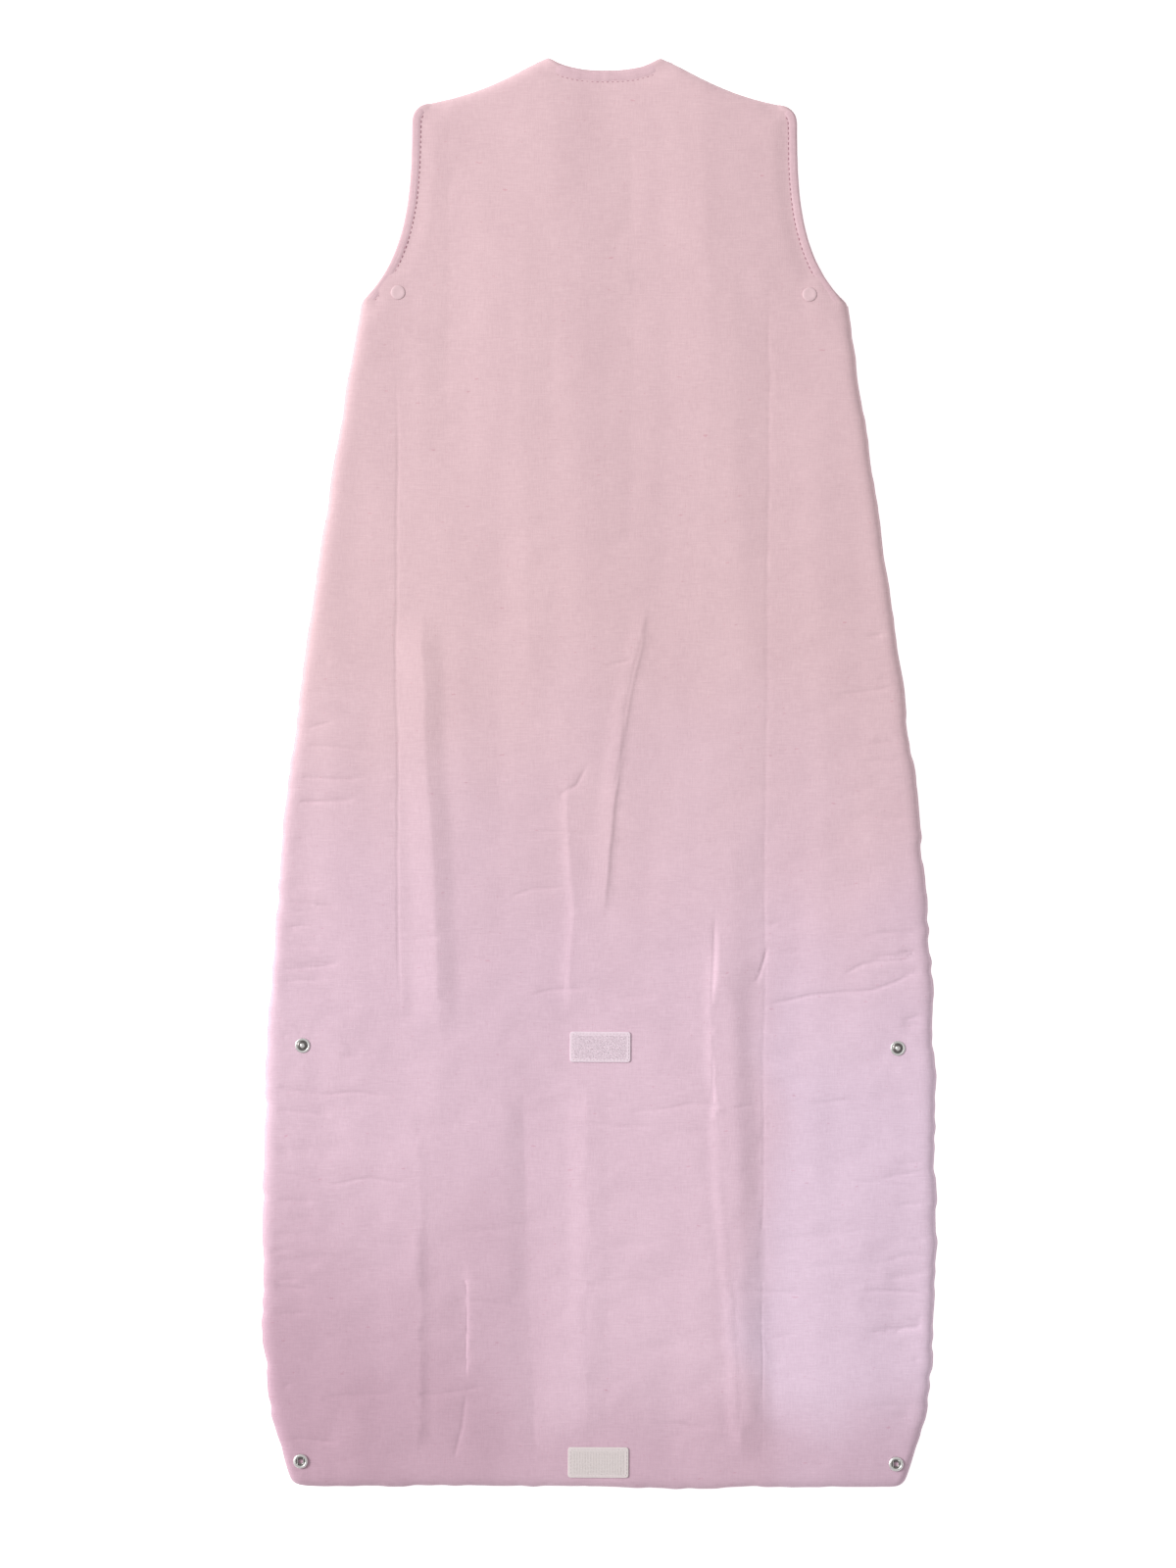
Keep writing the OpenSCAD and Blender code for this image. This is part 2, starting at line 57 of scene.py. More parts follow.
# ---------------------------------------------------------------- sizes of the bag
TOP, HEM = 550.0, -550.0
CHEST, HIP, HEM_HALF = 187.0, 258.5, 237.0
NECK, SHOULDER, SHOULDER_DROP = 43.0, 147.0, 43.0
UNDERARM = 360.0
BACK_NECK, FRONT_NECK = 539.0, 500.0
FOLD = -370.0
FOLD_REACH = 16.0  # how far the fold's band reaches on each side of the fold line
FOLD_ZONE = FOLD_REACH + 4  # and how far the finer mesh does
FOLD_STEP = 1.6
MID, BACK_FACE = 10.0, 20.0
RISE, RISE_REACH = 7.0, 12  # how high a panel's middle stands off MID, and how soon
SEAT = 9.97  # the outer cloth under a stud, snap or patch, above MID
ZIP_EDGE = 7.0
TOP_SLIDER, BOTTOM_SLIDER = 470.0, -534.0
STUD = (228.5, -210.5)
SOCKET = (228.5, -529.5)
SNAP = (158.0, 368.0)
PATCH_L, PATCH_W = 46.6, 23.5
ARM_BIND, NECK_BIND, BIND_HALF = 8.0, 10.0, 2.3  # the bindings' widths and half their thickness
SPACING = 4.7


# ---------------------------------------------------------------- curves and noise
def bezier(a, b, c, d, n):
    """n + 1 points of a cubic curve from a to d."""
    t = np.linspace(0, 1, n + 1)[:, None]
    s = 1 - t
    a, b, c, d = (np.array(p, float) for p in (a, b, c, d))
    return s**3 * a + 3 * s * s * t * b + 3 * s * t * t * c + t**3 * d


def normals_2d(p):
    """The unit normals of an open 2-D curve, on the left of its direction."""
    d = np.gradient(p, axis=0)
    d /= np.linalg.norm(d, axis=1)[:, None]
    return np.stack([-d[:, 1], d[:, 0]], axis=1)


def lengths(p):
    """The distance along a path to each of its points."""
    return np.concatenate([[0], np.cumsum(np.linalg.norm(np.diff(p, axis=0), axis=1))])


def resample(p, step):
    """The path p with points about step apart."""
    s = lengths(p)
    n = max(2, int(round(s[-1] / step)) + 1)
    at = np.linspace(0, s[-1], n)
    return np.stack([np.interp(at, s, p[:, k]) for k in range(p.shape[1])], axis=1)


def distance(points, path):
    """The distance from each 2-D point to a path."""
    best = np.full(len(points), 1e9)
    for a, b in zip(path[:-1], path[1:]):
        d = b - a
        t = np.clip(((points - a) @ d) / max(d @ d, 1e-12), 0, 1)
        q = points - (a + t[:, None] * d)
        best = np.minimum(best, np.einsum("ij,ij->i", q, q))
    return np.sqrt(best)


def smooth(x):
    """0 below 0, 1 above 1, and a smooth step between."""
    x = np.clip(x, 0, 1)
    return x * x * (3 - 2 * x)


def swell(d, width, power=3.0):
    """How far a padded edge has risen at distance d from its seam, 0 to 1."""
    s = np.clip(d / width, 0, 1)
    return (1 - (1 - s) ** power) ** (1 / power)


def noise(x, y, seed):
    """Smooth random values from -1 to 1, one unit apart."""
    table = np.random.default_rng(seed).uniform(-1, 1, (256, 256))
    xi, yi = np.floor(x).astype(int), np.floor(y).astype(int)
    u, v = smooth(x - xi), smooth(y - yi)
    a, b = table[xi % 256, yi % 256], table[(xi + 1) % 256, yi % 256]
    c, d = table[xi % 256, (yi + 1) % 256], table[(xi + 1) % 256, (yi + 1) % 256]
    return (a * (1 - u) + b * u) * (1 - v) + (c * (1 - u) + d * u) * v


def sway(s, row, seed):
    """Smooth random values along one line. Each row of a seed has its own."""
    return noise(s, s * 0 + row, seed)


# ---------------------------------------------------------------- outlines, right half
def right_edges(neck_y, start_x):
    """The bound and sewn edges of a right half: neck, shoulder, armhole, side and hem."""
    if neck_y > 530:
        neck = bezier([0, neck_y], [NECK / 2, neck_y], [0.8 * NECK, TOP - 8], [NECK, TOP], 30)
    else:
        neck = bezier([0, neck_y], [0.6 * NECK, neck_y], [0.95 * NECK, neck_y + 18], [NECK, TOP], 40)
    neck = neck[neck[:, 0] >= start_x]
    if start_x > 0:
        neck = np.vstack([[start_x, neck_y], neck])
    tip = bezier(
        [SHOULDER - 13, TOP - SHOULDER_DROP + 7.5], [SHOULDER - 3, TOP - SHOULDER_DROP + 3.5],
        [SHOULDER, TOP - SHOULDER_DROP + 1], [SHOULDER + 0.3, TOP - SHOULDER_DROP - 7], 10,
    )
    arm = bezier(
        [SHOULDER + 0.3, TOP - SHOULDER_DROP - 7], [SHOULDER + 0.5, UNDERARM + 95],
        [SHOULDER, UNDERARM + 35], [CHEST, UNDERARM], 60,
    )
    side = bezier(
        [CHEST, UNDERARM], [CHEST + 41, UNDERARM - 260], [HIP, -80], [HIP, -300], 120,
    )
    corner = bezier([HIP, HEM + 150], [HIP, HEM + 90], [HIP - 6.5, HEM + 50], [HEM_HALF, HEM + 7], 40)
    hem = bezier([HEM_HALF, HEM + 7], [HEM_HALF - 2, HEM + 2], [HEM_HALF - 6, HEM], [HEM_HALF - 12, HEM], 6)
    corner_of_neck = np.array([NECK, TOP])
    run = tip[0] - corner_of_neck
    sag = [corner_of_neck + 0.3 * run - [0, 1], corner_of_neck + 0.5 * run - [0, 9]]
    shoulder = bezier(corner_of_neck, *sag, tip[0], 24)
    armhole = np.vstack([tip, arm[1:]])
    seam = np.vstack([side, corner, hem[1:], [[start_x, HEM]]])
    return neck, shoulder, armhole, seam


def mirrored(p):
    """A path's mirror image on the other side of the bag, in the opposite direction."""
    return (p * [-1, 1])[::-1]


# ---------------------------------------------------------------- meshes
def mesh_object(name, verts, faces, uv=None):
    """A smooth-shaded object from points in millimetres, with flat coordinates in metres."""
    mesh = bpy.data.meshes.new(name)
    mesh.from_pydata((np.asarray(verts, float) * MM).tolist(), [], [list(map(int, f)) for f in faces])
    mesh.validate()
    mesh.polygons.foreach_set("use_smooth", [True] * len(mesh.polygons))
    if uv is not None:
        layer = mesh.uv_layers.new(name="flat")
        index = np.zeros(len(mesh.loops), int)
        mesh.loops.foreach_get("vertex_index", index)
        layer.data.foreach_set("uv", (np.asarray(uv, float)[index] * MM).ravel().astype(np.float32))
    obj = bpy.data.objects.new(name, mesh)
    bpy.context.scene.collection.objects.link(obj)
    return obj


def inside(points, loop):
    """Which 2-D points lie inside a closed loop."""
    x, y = points.T
    count = np.zeros(len(points), int)
    for (x1, y1), (x2, y2) in zip(loop, np.roll(loop, -1, 0)):
        if y1 != y2:
            count += ((y1 > y) != (y2 > y)) & (x < x1 + (y - y1) / (y2 - y1) * (x2 - x1))
    return count % 2 == 1


def at_fold(p):
    """Which points lie at the fold line, or close to it."""
    return np.abs(p[:, 1] - FOLD) < FOLD_ZONE


def edge_points(path, step):
    """Points about a step apart along a path, and closer together at the fold."""
    fine = resample(path, FOLD_STEP)
    kept = (np.arange(len(fine)) % max(1, round(step / FOLD_STEP)) == 0) | at_fold(fine)
    kept[-1] = True
    return fine[kept]


def cut_cloth(outline, sewn, bound, spacing, rng, lines=()):
    """A flat triangle mesh of the cloth inside a closed outline, finest along its edges.

    lines are (path, offsets) pairs, along which it has extra points."""
    rings = []
    step = 0.9 * spacing
    for path, offsets in ((sewn, (0.3, 0.9, 2.0, 3.8, 6.6, 10)), (bound, (2.6, 5.2, 7.8, 10.4))):
        for piece in path:
            for off in offsets:
                p = edge_points(piece, FOLD_STEP if off < 3 else 0.5 * step if off < 6 else step)
                q = p - off * normals_2d(p)
                keep = distance(q, outline) > off * 0.93
                rings.append(q[keep])
    edge = resample(outline, FOLD_STEP)[:-1]
    low, high = outline.min(0), outline.max(0)
    rows = []
    y, odd = low[1] + spacing / 2, False
    while y < high[1]:
        bends = abs(y - FOLD) < FOLD_ZONE
        pitch = min(3.4, spacing) if bends else spacing
        x = np.arange(low[0] + (spacing / 2 if odd and not bends else 0), high[0], pitch)
        rows.append(np.stack([x, np.full(len(x), y)], axis=1))
        y += FOLD_STEP if bends else 0.866 * spacing
        odd = not odd
    grid = np.vstack(rows)
    grid += rng.uniform(-0.12, 0.12, grid.shape) * spacing * ~at_fold(grid)[:, None]
    sewn_d = np.min([distance(grid, p) for p in sewn], axis=0)
    bound_d = np.min([distance(grid, p) for p in bound], axis=0)
    grid = grid[(sewn_d > 12.4) & (bound_d > 12.2)]
    for path, offsets in lines:
        p = resample(path, 3.2)
        n = normals_2d(p)
        extra = np.vstack([p + off * n for off in offsets])
        away = np.min([distance(extra, q) for q in sewn + bound], axis=0)
        rings.append(extra[(away > 11.4) & inside(extra, outline) & ~at_fold(extra)])
        box = ((grid > p.min(0) - 6) & (grid < p.max(0) + 6)).all(axis=1)
        close = np.zeros(len(grid), bool)
        close[box] = distance(grid[box], p) < max(offsets) + 1.6
        grid = grid[~close | at_fold(grid)]
    points = np.vstack([edge] + rings + [grid])
    edges = [(i, (i + 1) % len(edge)) for i in range(len(edge))]
    out = delaunay_2d_cdt([Vector(p) for p in points], edges, [], 1, 1e-3)
    xy = np.array([[v.x, v.y] for v in out[0]])
    faces = list(out[2])
    used = np.unique([i for f in faces for i in f])
    remap = np.full(len(xy), -1)
    remap[used] = np.arange(len(used))
    faces = [[int(remap[i]) for i in f] for f in faces]
    xy = xy[used]
    first = faces[0]
    a, b, c = xy[first[0]], xy[first[1]], xy[first[2]]
    if np.cross(b - a, c - a) < 0:
        faces = [f[::-1] for f in faces]
    return xy, faces


# ---------------------------------------------------------------- wrinkles of the back
# Each crease is (kind, height, a, b, points). A groove sinks along its line, a wide. A ridge
# has a flat flank a wide on its left and b wide on its right, and falls where height is less
# than 0. A step rises to the right of its line, a wide, and fades out over b.
CREASES = [
    ("ridge", -0.9, 26, 44, [(127, 400), (127, 120), (126, -60), (126, -300), (125, -545)]),
    ("ridge", -1.0, 24, 40, [(127, -20), (126, -110), (126, -300), (125, -545)]),
    ("groove", 0.28, 0.8, 0, [(127, 400), (127, 120), (126, -60), (126, -300), (125, -545)]),
    ("ridge", 2.7, 9.5, 26, [(92, -112), (90, -172), (91, -230), (94, -255), (97, -328), (104, -400),
                             (107, -463), (111, -535)]),
    ("groove", 0.7, 1.4, 0, [(88, -105), (86, -172), (87, -232), (88, -262)]),
    ("ridge", 2.1, 19, 15, [(-139, 130), (-137, 74), (-134, 0), (-130, -46), (-126, -129), (-123, -205)]),
    ("groove", 0.4, 1.0, 0, [(-158, 300), (-158, 100), (-156, -60), (-154, -190)]),
    ("ridge", 0.95, 12, 2.6, [(34, 132), (30, 100), (25, 78), (20, 55), (15, 18), (9, -28), (6, -80),
                              (3, -112)]),
    ("groove", 0.5, 1.0, 0, [(34, 118), (30, 100), (25, 78), (20, 55), (15, 18), (10, -20)]),
    ("ridge", 1.0, 5, 27, [(-27, 2), (-27, -22), (-24, -74), (-20, -105), (-24, -150), (-24, -190)]),
    ("groove", 0.6, 1.0, 0, [(1, 83), (12, 84), (26, 88)]),
    ("groove", 0.7, 1.2, 0, [(-34, -19), (-27, -13), (-18, -9), (-12, 6)]),
    ("ridge", 1.3, 30, 7, [(-140, -275), (-140, -330), (-139, -420), (-138, -525)]),
    ("ridge", -0.7, 14, 26, [(-60, -232), (-57, -300), (-56, -380), (-50, -470), (-48, -530)]),
    ("groove", 0.7, 1.1, 0, [(-103, -372), (-102, -400), (-101, -440), (-102, -468)]),
    ("step", 0.5, 1.8, 14, [(-103, -372), (-102, -400), (-101, -440), (-102, -468)]),
    ("groove", 0.6, 1.6, 0, [(-102, -475), (-105, -505), (-112, -530)]),
    ("groove", 0.85, 1.5, 0, [(-258, -240), (-240, -243), (-215, -248), (-190, -246), (-160, -250)]),
    ("groove", 0.7, 1.6, 0, [(-258, -306), (-230, -312), (-205, -318), (-180, -312), (-140, -318)]),
    ("groove", 0.95, 1.3, 0, [(127, -178), (145, -174), (164, -169), (190, -168), (206, -167), (227, -159),
                              (243, -151)]),
    ("groove", 0.7, 1.3, 0, [(184, -154), (201, -146), (227, -143), (246, -139)]),
    ("groove", 0.95, 1.0, 0, [(129, -131), (126, -142), (122, -156), (118, -162)]),
    ("groove", 0.5, 1.6, 0, [(160, -254), (186, -250), (205, -252)]),
    ("groove", 0.9, 1.4, 0, [(217, -375), (235, -369), (254, -371)]),
    ("groove", 0.9, 1.4, 0, [(223, -432), (233, -427), (253, -426)]),
    ("groove", 0.5, 1.4, 0, [(138, -115), (125, -118)]),
    ("groove", 0.45, 1.6, 0, [(41, -499), (66, -500), (92, -503)]),
    ("groove", 0.5, 1.6, 0, [(20, -260), (50, -258), (72, -253), (100, -256), (124, -255)]),
    ("groove", 0.6, 1.2, 0, [(-71, -96), (-52, -89), (-25, -87)]),
    ("groove", 0.6, 1.2, 0, [(-53, -171), (-40, -167), (-9, -167)]),
    ("ridge", 0.8, 16, 16, [(-9, -225), (-9, -380), (-9, -530)]),
    ("groove", 0.9, 1.8, 0, [(-192, 347), (-178, 357), (-168, 366)]),
    ("groove", 0.8, 1.8, 0, [(192, 350), (180, 357), (170, 366)]),
    ("ridge", 0.8, 40, 24, [(-60, 440), (-64, 300), (-60, 180), (-56, 60)]),
    ("ridge", -0.8, 26, 40, [(20, 500), (24, 360), (22, 240), (20, 150)]),
    ("ridge", 0.7, 30, 24, [(78, 470), (82, 330), (78, 200), (72, 60)]),
    ("ridge", -0.6, 20, 26, [(-118, 470), (-120, 330), (-118, 220)]),
]


def small_wrinkles(rng):
    """Short level wrinkles, close together at the lower sides and few in the middle."""
    out = []
    for _ in range(84):
        side = rng.choice([-1, 1])
        y = rng.uniform(-525, 110)
        reach = rng.uniform(10, 70)
        outer = side * (HIP - max(0, y + 60) * 0.19 - rng.uniform(0, 7))
        drop = rng.uniform(-7, 7)
        line = [(outer, y), (outer - side * reach * 0.5, y + drop * 0.4), (outer - side * reach, y + drop)]
        out.append(("groove", rng.uniform(0.35, 1.05), rng.uniform(1.1, 3.4), 0, line))
    for _ in range(110):
        x, y = rng.uniform(-210, 210), rng.uniform(-535, 60)
        half, lean = rng.uniform(6, 34), rng.uniform(-5, 5)
        line = [(x - half, y - lean), (x, y + rng.uniform(-2, 2)), (x + half, y + lean)]
        out.append(("groove", rng.uniform(0.16, 0.55), rng.uniform(1.4, 4.2), 0, line))
    for _ in range(26):
        x, y = rng.uniform(-120, 120), rng.uniform(80, 480)
        half, lean = rng.uniform(8, 30), rng.uniform(-3, 3)
        line = [(x - half, y - lean), (x + half, y + lean)]
        out.append(("groove", rng.uniform(0.06, 0.2), rng.uniform(1.5, 3), 0, line))
    return out


def worn(line, seed):
    """A crease's line with small sideways wanderings."""
    p = resample(np.array(line, float), 9)
    s = lengths(p)
    aside = 0.9 * sway(s / 34, 1, seed) + 0.35 * sway(s / 13, 4, seed)
    return p + normals_2d(p) * aside[:, None]


def all_creases():
    """Every crease of the back, with its line as it really runs."""
    rows = CREASES + small_wrinkles(np.random.default_rng(17))
    return [(kind, h, a, b, worn(line, 100 + k)) for k, (kind, h, a, b, line) in enumerate(rows)]


def crease_lines():
    """The lines along which the back's cloth needs extra points, with their offsets."""
    out = []
    for kind, height, a, _, line in all_creases():
        if kind == "ridge":
            out.append((line, (0, 1.3, -1.3, 3.2, -3.2)))
        elif abs(height) > 0.34 and a < 2.5:
            out.append((line, (0, 1.2, -1.2, 2.8, -2.8)))
    return out


def crease(points, kind, height, a, b, line):
    """The height that one crease adds at each point."""
    reach = 60 if kind == "ridge" else max(4 * a, 3 * b)
    near = np.flatnonzero(((points > line.min(0) - reach) & (points < line.max(0) + reach)).all(axis=1))
    total = np.zeros(len(points))
    p = points[near]
    best = np.full(len(p), 1e9)
    side = np.zeros(len(p))
    along = np.zeros(len(p))
    s = lengths(line)
    for k, (start, end) in enumerate(zip(line[:-1], line[1:])):
        d = end - start
        t = np.clip(((p - start) @ d) / (d @ d), 0, 1)
        q = p - (start + t[:, None] * d)
        r = np.hypot(q[:, 0], q[:, 1])
        cross = (d[0] * q[:, 1] - d[1] * q[:, 0]) / np.hypot(*d)
        closer = r < best
        best = np.where(closer, r, best)
        side = np.where(closer, cross, side)
        along = np.where(closer, s[k] + t * np.hypot(*d), along)
    ends = 0.1 * s[-1] + 5
    taper = smooth(along / ends) * smooth((s[-1] - along) / ends)
    if kind == "groove":
        value = -height * np.exp(-best / a)
    elif kind == "ridge":
        flank = np.where(side < 0, best / a, best / b)
        value = height * np.clip(1 - np.sqrt(flank**2 + 0.0025), 0, 1)
    else:
        value = height * np.tanh(side / a) * np.exp(-((best / b) ** 2))
    total[near] = value * taper
    return total


def back_relief(xy):
    """The wrinkles of the back cloth, in millimetres above its smooth shape."""
    x, y = xy[:, 0], xy[:, 1]
    total = sum(crease(xy, *c) for c in all_creases())
    total += 0.3 * noise(x / 58 + 3, y / 300, 11) + 0.22 * noise(x / 26, y / 150, 12)
    lower = smooth((120 - y) / 260)
    total += (0.34 * noise(x / 70, y / 34, 13) + 0.17 * noise(x / 30, y / 15, 16)) * lower
    total += (0.08 + 0.1 * lower) * noise(x / 18, y / 14, 14) + 0.06 * noise(x / 9, y / 8, 15)
    return total


def pinch(xy, height, centre, inner, outer, level, folds=7, depth=0.22):
    """Heights pulled to a level round a point, with small folds running out from it."""
    d = xy - centre
    r = np.hypot(d[:, 0], d[:, 1])
    pulled = level + (height - level) * smooth((r - inner) / (outer - inner))
    phi = np.arctan2(d[:, 1], d[:, 0])
    ripple = depth * np.cos(folds * phi + centre[0]) * smooth((r - inner) / 4) * np.exp(-((r / outer) ** 2))
    return pulled + ripple


def both_sides(point):
    """A point and its mirror image."""
    return [np.array(point), np.array([-point[0], point[1]])]


# ---------------------------------------------------------------- padded panels
def profile(ds, db, relief, puff):
    """Heights above the middle of the bag of an outer cloth and of its lining."""
    rise = RISE * swell(ds, RISE_REACH)
    thick = 0.5 + 5.5 * swell(ds, 10.5) * (0.6 + 0.4 * smooth((db - 6.5) / 12))
    free = smooth((ds - 2) / 12) * smooth((db - 8) / 12)
    outer = rise + thick / 2 + puff * smooth((np.minimum(ds, db) - 4) / 46) + relief * free
    lining = np.maximum(rise - thick / 2, 0.05)
    return outer, lining


def wavy_edge(xy, ds, amount):
    """Small in-plane waves of a sewn edge, which fade out inside the panel."""
    x, y = xy[:, 0], xy[:, 1]
    fade = np.exp(-ds / 9)[:, None]
    wide = 0.45 + 0.55 * smooth((120 - y) / 160)
    dx = wide * (1.5 * sway(y / 33 + 40, np.sign(x), 21) + 0.9 * sway(y / 8, 7 * np.sign(x), 22))
    dy = 1.7 * sway(x / 62 + 9, 1, 23) + 0.6 * sway(x / 10, 5, 24)
    low = smooth((HEM + 60 - y) / 50)
    return xy + amount * fade * np.stack([dx * np.sign(x) * (1 - low), dy * low], axis=1)


def panel_cloth(side, spacing=SPACING, lines=()):
    """Flat points, faces and edge distances of the back, or of the right front."""
    front = side == "front"
    start = ZIP_EDGE if front else 0
    neck, shoulder, arm, seam = right_edges(FRONT_NECK if front else BACK_NECK, start)
    half = [neck, shoulder[1:], arm[1:], seam[1:]]
    if front:
        zip_edge = np.array([[start, HEM], neck[0]])
        outline = np.vstack(half + [zip_edge[1:]])
        sewn, bound = [shoulder, seam], [neck, arm]
        fine = [shoulder, seam, zip_edge]
    else:
        left = [mirrored(p) for p in (seam, arm, shoulder, neck)]
        outline = np.vstack(half + [p[1:] for p in left])
        sewn, bound = [shoulder, seam, left[0], left[2]], [neck, arm, left[1], left[3]]
        fine = sewn
    xy, faces = cut_cloth(outline, fine, bound, spacing, np.random.default_rng(4), lines)
    ds = np.min([distance(xy, p) for p in sewn], axis=0)
    db = np.min([distance(xy, p) for p in bound], axis=0)
    return xy, faces, ds, db


def shell(name, top, under, faces, uv=None, keep=None):
    """A closed piece between two sheets of points, over the faces whose points are all kept."""
    faces = np.array(faces)
    if keep is not None:
        faces = faces[keep[faces].all(axis=1)]
    used = np.unique(faces)
    remap = np.full(len(top), -1)
    remap[used] = np.arange(len(used))
    n = len(used)
    upper = remap[faces].tolist()
    edges = {(i, j) for f in upper for i, j in zip(f, f[1:] + f[:1])}
    walls = [[j, i, i + n, j + n] for i, j in sorted(edges) if (j, i) not in edges]
    lower = [[i + n for i in reversed(f)] for f in upper]
    if uv is not None:
        uv = np.vstack([uv[used], uv[used]])
    return mesh_object(name, np.vstack([top[used], under[used]]), upper + lower + walls, uv)


def buckle(points, faces, hold, frames=14):
    """How far each point of a cloth moves when it is cut a little too large and held softly."""
    obj = mesh_object("cloth_trial", points, faces)
    group = obj.vertex_groups.new(name="hold")
    for level in np.unique(hold):
        group.add([int(i) for i in np.flatnonzero(hold == level)], float(level), "REPLACE")
    modifier = obj.modifiers.new("buckle", "CLOTH")
    cloth = modifier.settings
    cloth.quality = 4
    cloth.mass = 0.15
    cloth.air_damping = 3
    cloth.tension_stiffness = cloth.compression_stiffness = 14
    cloth.shear_stiffness = 6
    cloth.bending_stiffness = 0.35
    cloth.vertex_group_mass = "hold"
    cloth.pin_stiffness = 0.6
    cloth.shrink_min = -0.02
    cloth.use_pressure = True
    cloth.uniform_pressure_force = 1.2
    cloth.effector_weights.gravity = 0
    modifier.collision_settings.use_collision = False
    modifier.point_cache.frame_start = 1
    modifier.point_cache.frame_end = frames
    scene = bpy.context.scene
    for number in range(1, frames + 1):
        scene.frame_set(number)
    done = obj.evaluated_get(bpy.context.evaluated_depsgraph_get()).to_mesh()
    after = np.zeros(len(done.vertices) * 3, np.float32)
    done.vertices.foreach_get("co", after)
    scene.frame_set(1)
    mesh = obj.data
    bpy.data.objects.remove(obj)
    bpy.data.meshes.remove(mesh)
    return after.reshape(-1, 3) / MM - points


def settle(points, faces, hold, share, limit):
    """The points moved by a share of what their simulation does, levelling off at the limit."""
    move = buckle(points, faces, hold) * share
    far = np.linalg.norm(move, axis=1)
    return points + move * (limit / np.sqrt(limit**2 + far**2))[:, None]


# ---------------------------------------------------------------- swept, turned and sewn shapes
def sweep(name, path, side, section, closed=False):
    """A section swept along a path. side is the section's width direction at each point.

    The section is one list of (across, up) points, or one such list for each path point.
    Returns the object and its points by ring."""
    n = len(path)
    section = np.asarray(section, float)
    if section.ndim == 2:
        section = np.repeat(section[None], n, axis=0)
    m = section.shape[1]
    if closed:
        tangent = np.roll(path, -1, 0) - np.roll(path, 1, 0)
    else:
        tangent = np.gradient(path, axis=0)
    tangent /= np.linalg.norm(tangent, axis=1)[:, None]
    side = side - np.einsum("ij,ij->i", side, tangent)[:, None] * tangent
    side /= np.linalg.norm(side, axis=1)[:, None]
    up = np.cross(tangent, side)
    rings = path[:, None] + section[:, :, :1] * side[:, None] + section[:, :, 1:] * up[:, None]
    verts = rings.reshape(-1, 3)
    faces = []
    for i in range(n if closed else n - 1):
        a, b = i * m, ((i + 1) % n) * m
        faces += [[a + k, a + (k + 1) % m, b + (k + 1) % m, b + k] for k in range(m)]
    if not closed:
        faces += [list(range(m))[::-1], [(n - 1) * m + k for k in range(m)]]
    around = np.concatenate([[0], np.cumsum(np.linalg.norm(np.diff(section[0], axis=0), axis=1))])
    along = lengths(path)
    uv = np.stack([np.repeat(along, m), np.tile(around, n)], axis=1)
    return mesh_object(name, verts, faces, uv), rings


def rounded_section(half_w, half_h, n=16, power=0.72):
    """A flat rounded section, as (across, up) points."""
    a = np.linspace(0, 2 * math.pi, n, endpoint=False)
    c, s = np.cos(a), np.sin(a)
    return np.stack([half_w * np.sign(c) * np.abs(c) ** power, half_h * np.sign(s) * np.abs(s) ** power], 1)


def lathe(name, outline, centres, flip=False, n=40):
    """Copies of a turned shape at several places. outline is (radius, height) points."""
    verts, faces = [], []
    outline = np.asarray(outline, float)
    m = len(outline)
    for centre in centres:
        base = len(verts)
        for k in range(n):
            a = 2 * math.pi * k / n
            for r, h in outline:
                verts.append([centre[0] + r * math.cos(a), centre[1] + r * math.sin(a),
                              centre[2] + (-h if flip else h)])
        for k in range(n):
            p, q = base + k * m, base + ((k + 1) % n) * m
            for j in range(m - 1):
                face = [p + j, q + j, q + j + 1, p + j + 1]
                faces.append(face[::-1] if flip else face)
    obj = mesh_object(name, verts, faces)
    weld(obj)
    return obj


def weld(obj, gap=0.004):
    """Joins points that lie on each other, and drops the empty faces that leaves."""
    bm = bmesh.new()
    bm.from_mesh(obj.data)
    bmesh.ops.remove_doubles(bm, verts=bm.verts, dist=gap * MM)
    bmesh.ops.dissolve_degenerate(bm, edges=bm.edges, dist=1e-7)
    bmesh.ops.recalc_face_normals(bm, faces=bm.faces)
    bm.to_mesh(obj.data)
    bm.free()
    obj.data.polygons.foreach_set("use_smooth", [True] * len(obj.data.polygons))


def point_at(place, s, values):
    """The 3-D value at a distance along a path, from those at its points."""
    return np.array([np.interp(place, s, values[:, k]) for k in range(3)])


def stitches(name, rows, pitch=3.1, length=2.3, radius=0.2):
    """Sewn thread along rows of (path, up): one short arched stitch after another."""
    verts, faces = [], []
    t = np.linspace(-1, 1, 5)
    arch = radius * (1.15 - 2.4 * t**4)
    thick = radius * np.array([0.55, 0.95, 1.0, 0.95, 0.55])
    angle = np.linspace(0, 2 * math.pi, 6, endpoint=False)
    for path, up in rows:
        s = lengths(path)
        for c in np.arange(pitch / 2, s[-1], pitch):
            ends = [point_at(c + e * length / 2, s, path) for e in (-1, 1)]
            normal = point_at(c, s, up)
            along = ends[1] - ends[0]
            half = np.linalg.norm(along) / 2
            if half < 0.3 * length:
                continue
            along /= 2 * half
            normal -= (normal @ along) * along
            normal /= np.linalg.norm(normal)
            across = np.cross(along, normal)
            middle = (ends[0] + ends[1]) / 2
            base = len(verts)
            for k in range(5):
                centre = middle + along * t[k] * half + normal * arch[k]
                for a in angle:
                    verts.append(centre + thick[k] * (math.cos(a) * across + math.sin(a) * normal))
            for k in range(4):
                for j in range(6):
                    p, q = base + k * 6, base + (k + 1) * 6
                    faces.append([p + j, p + (j + 1) % 6, q + (j + 1) % 6, q + j])
            faces.append([base + j for j in range(6)][::-1])
            faces.append([base + 24 + j for j in range(6)])
    return mesh_object(name, verts, faces)


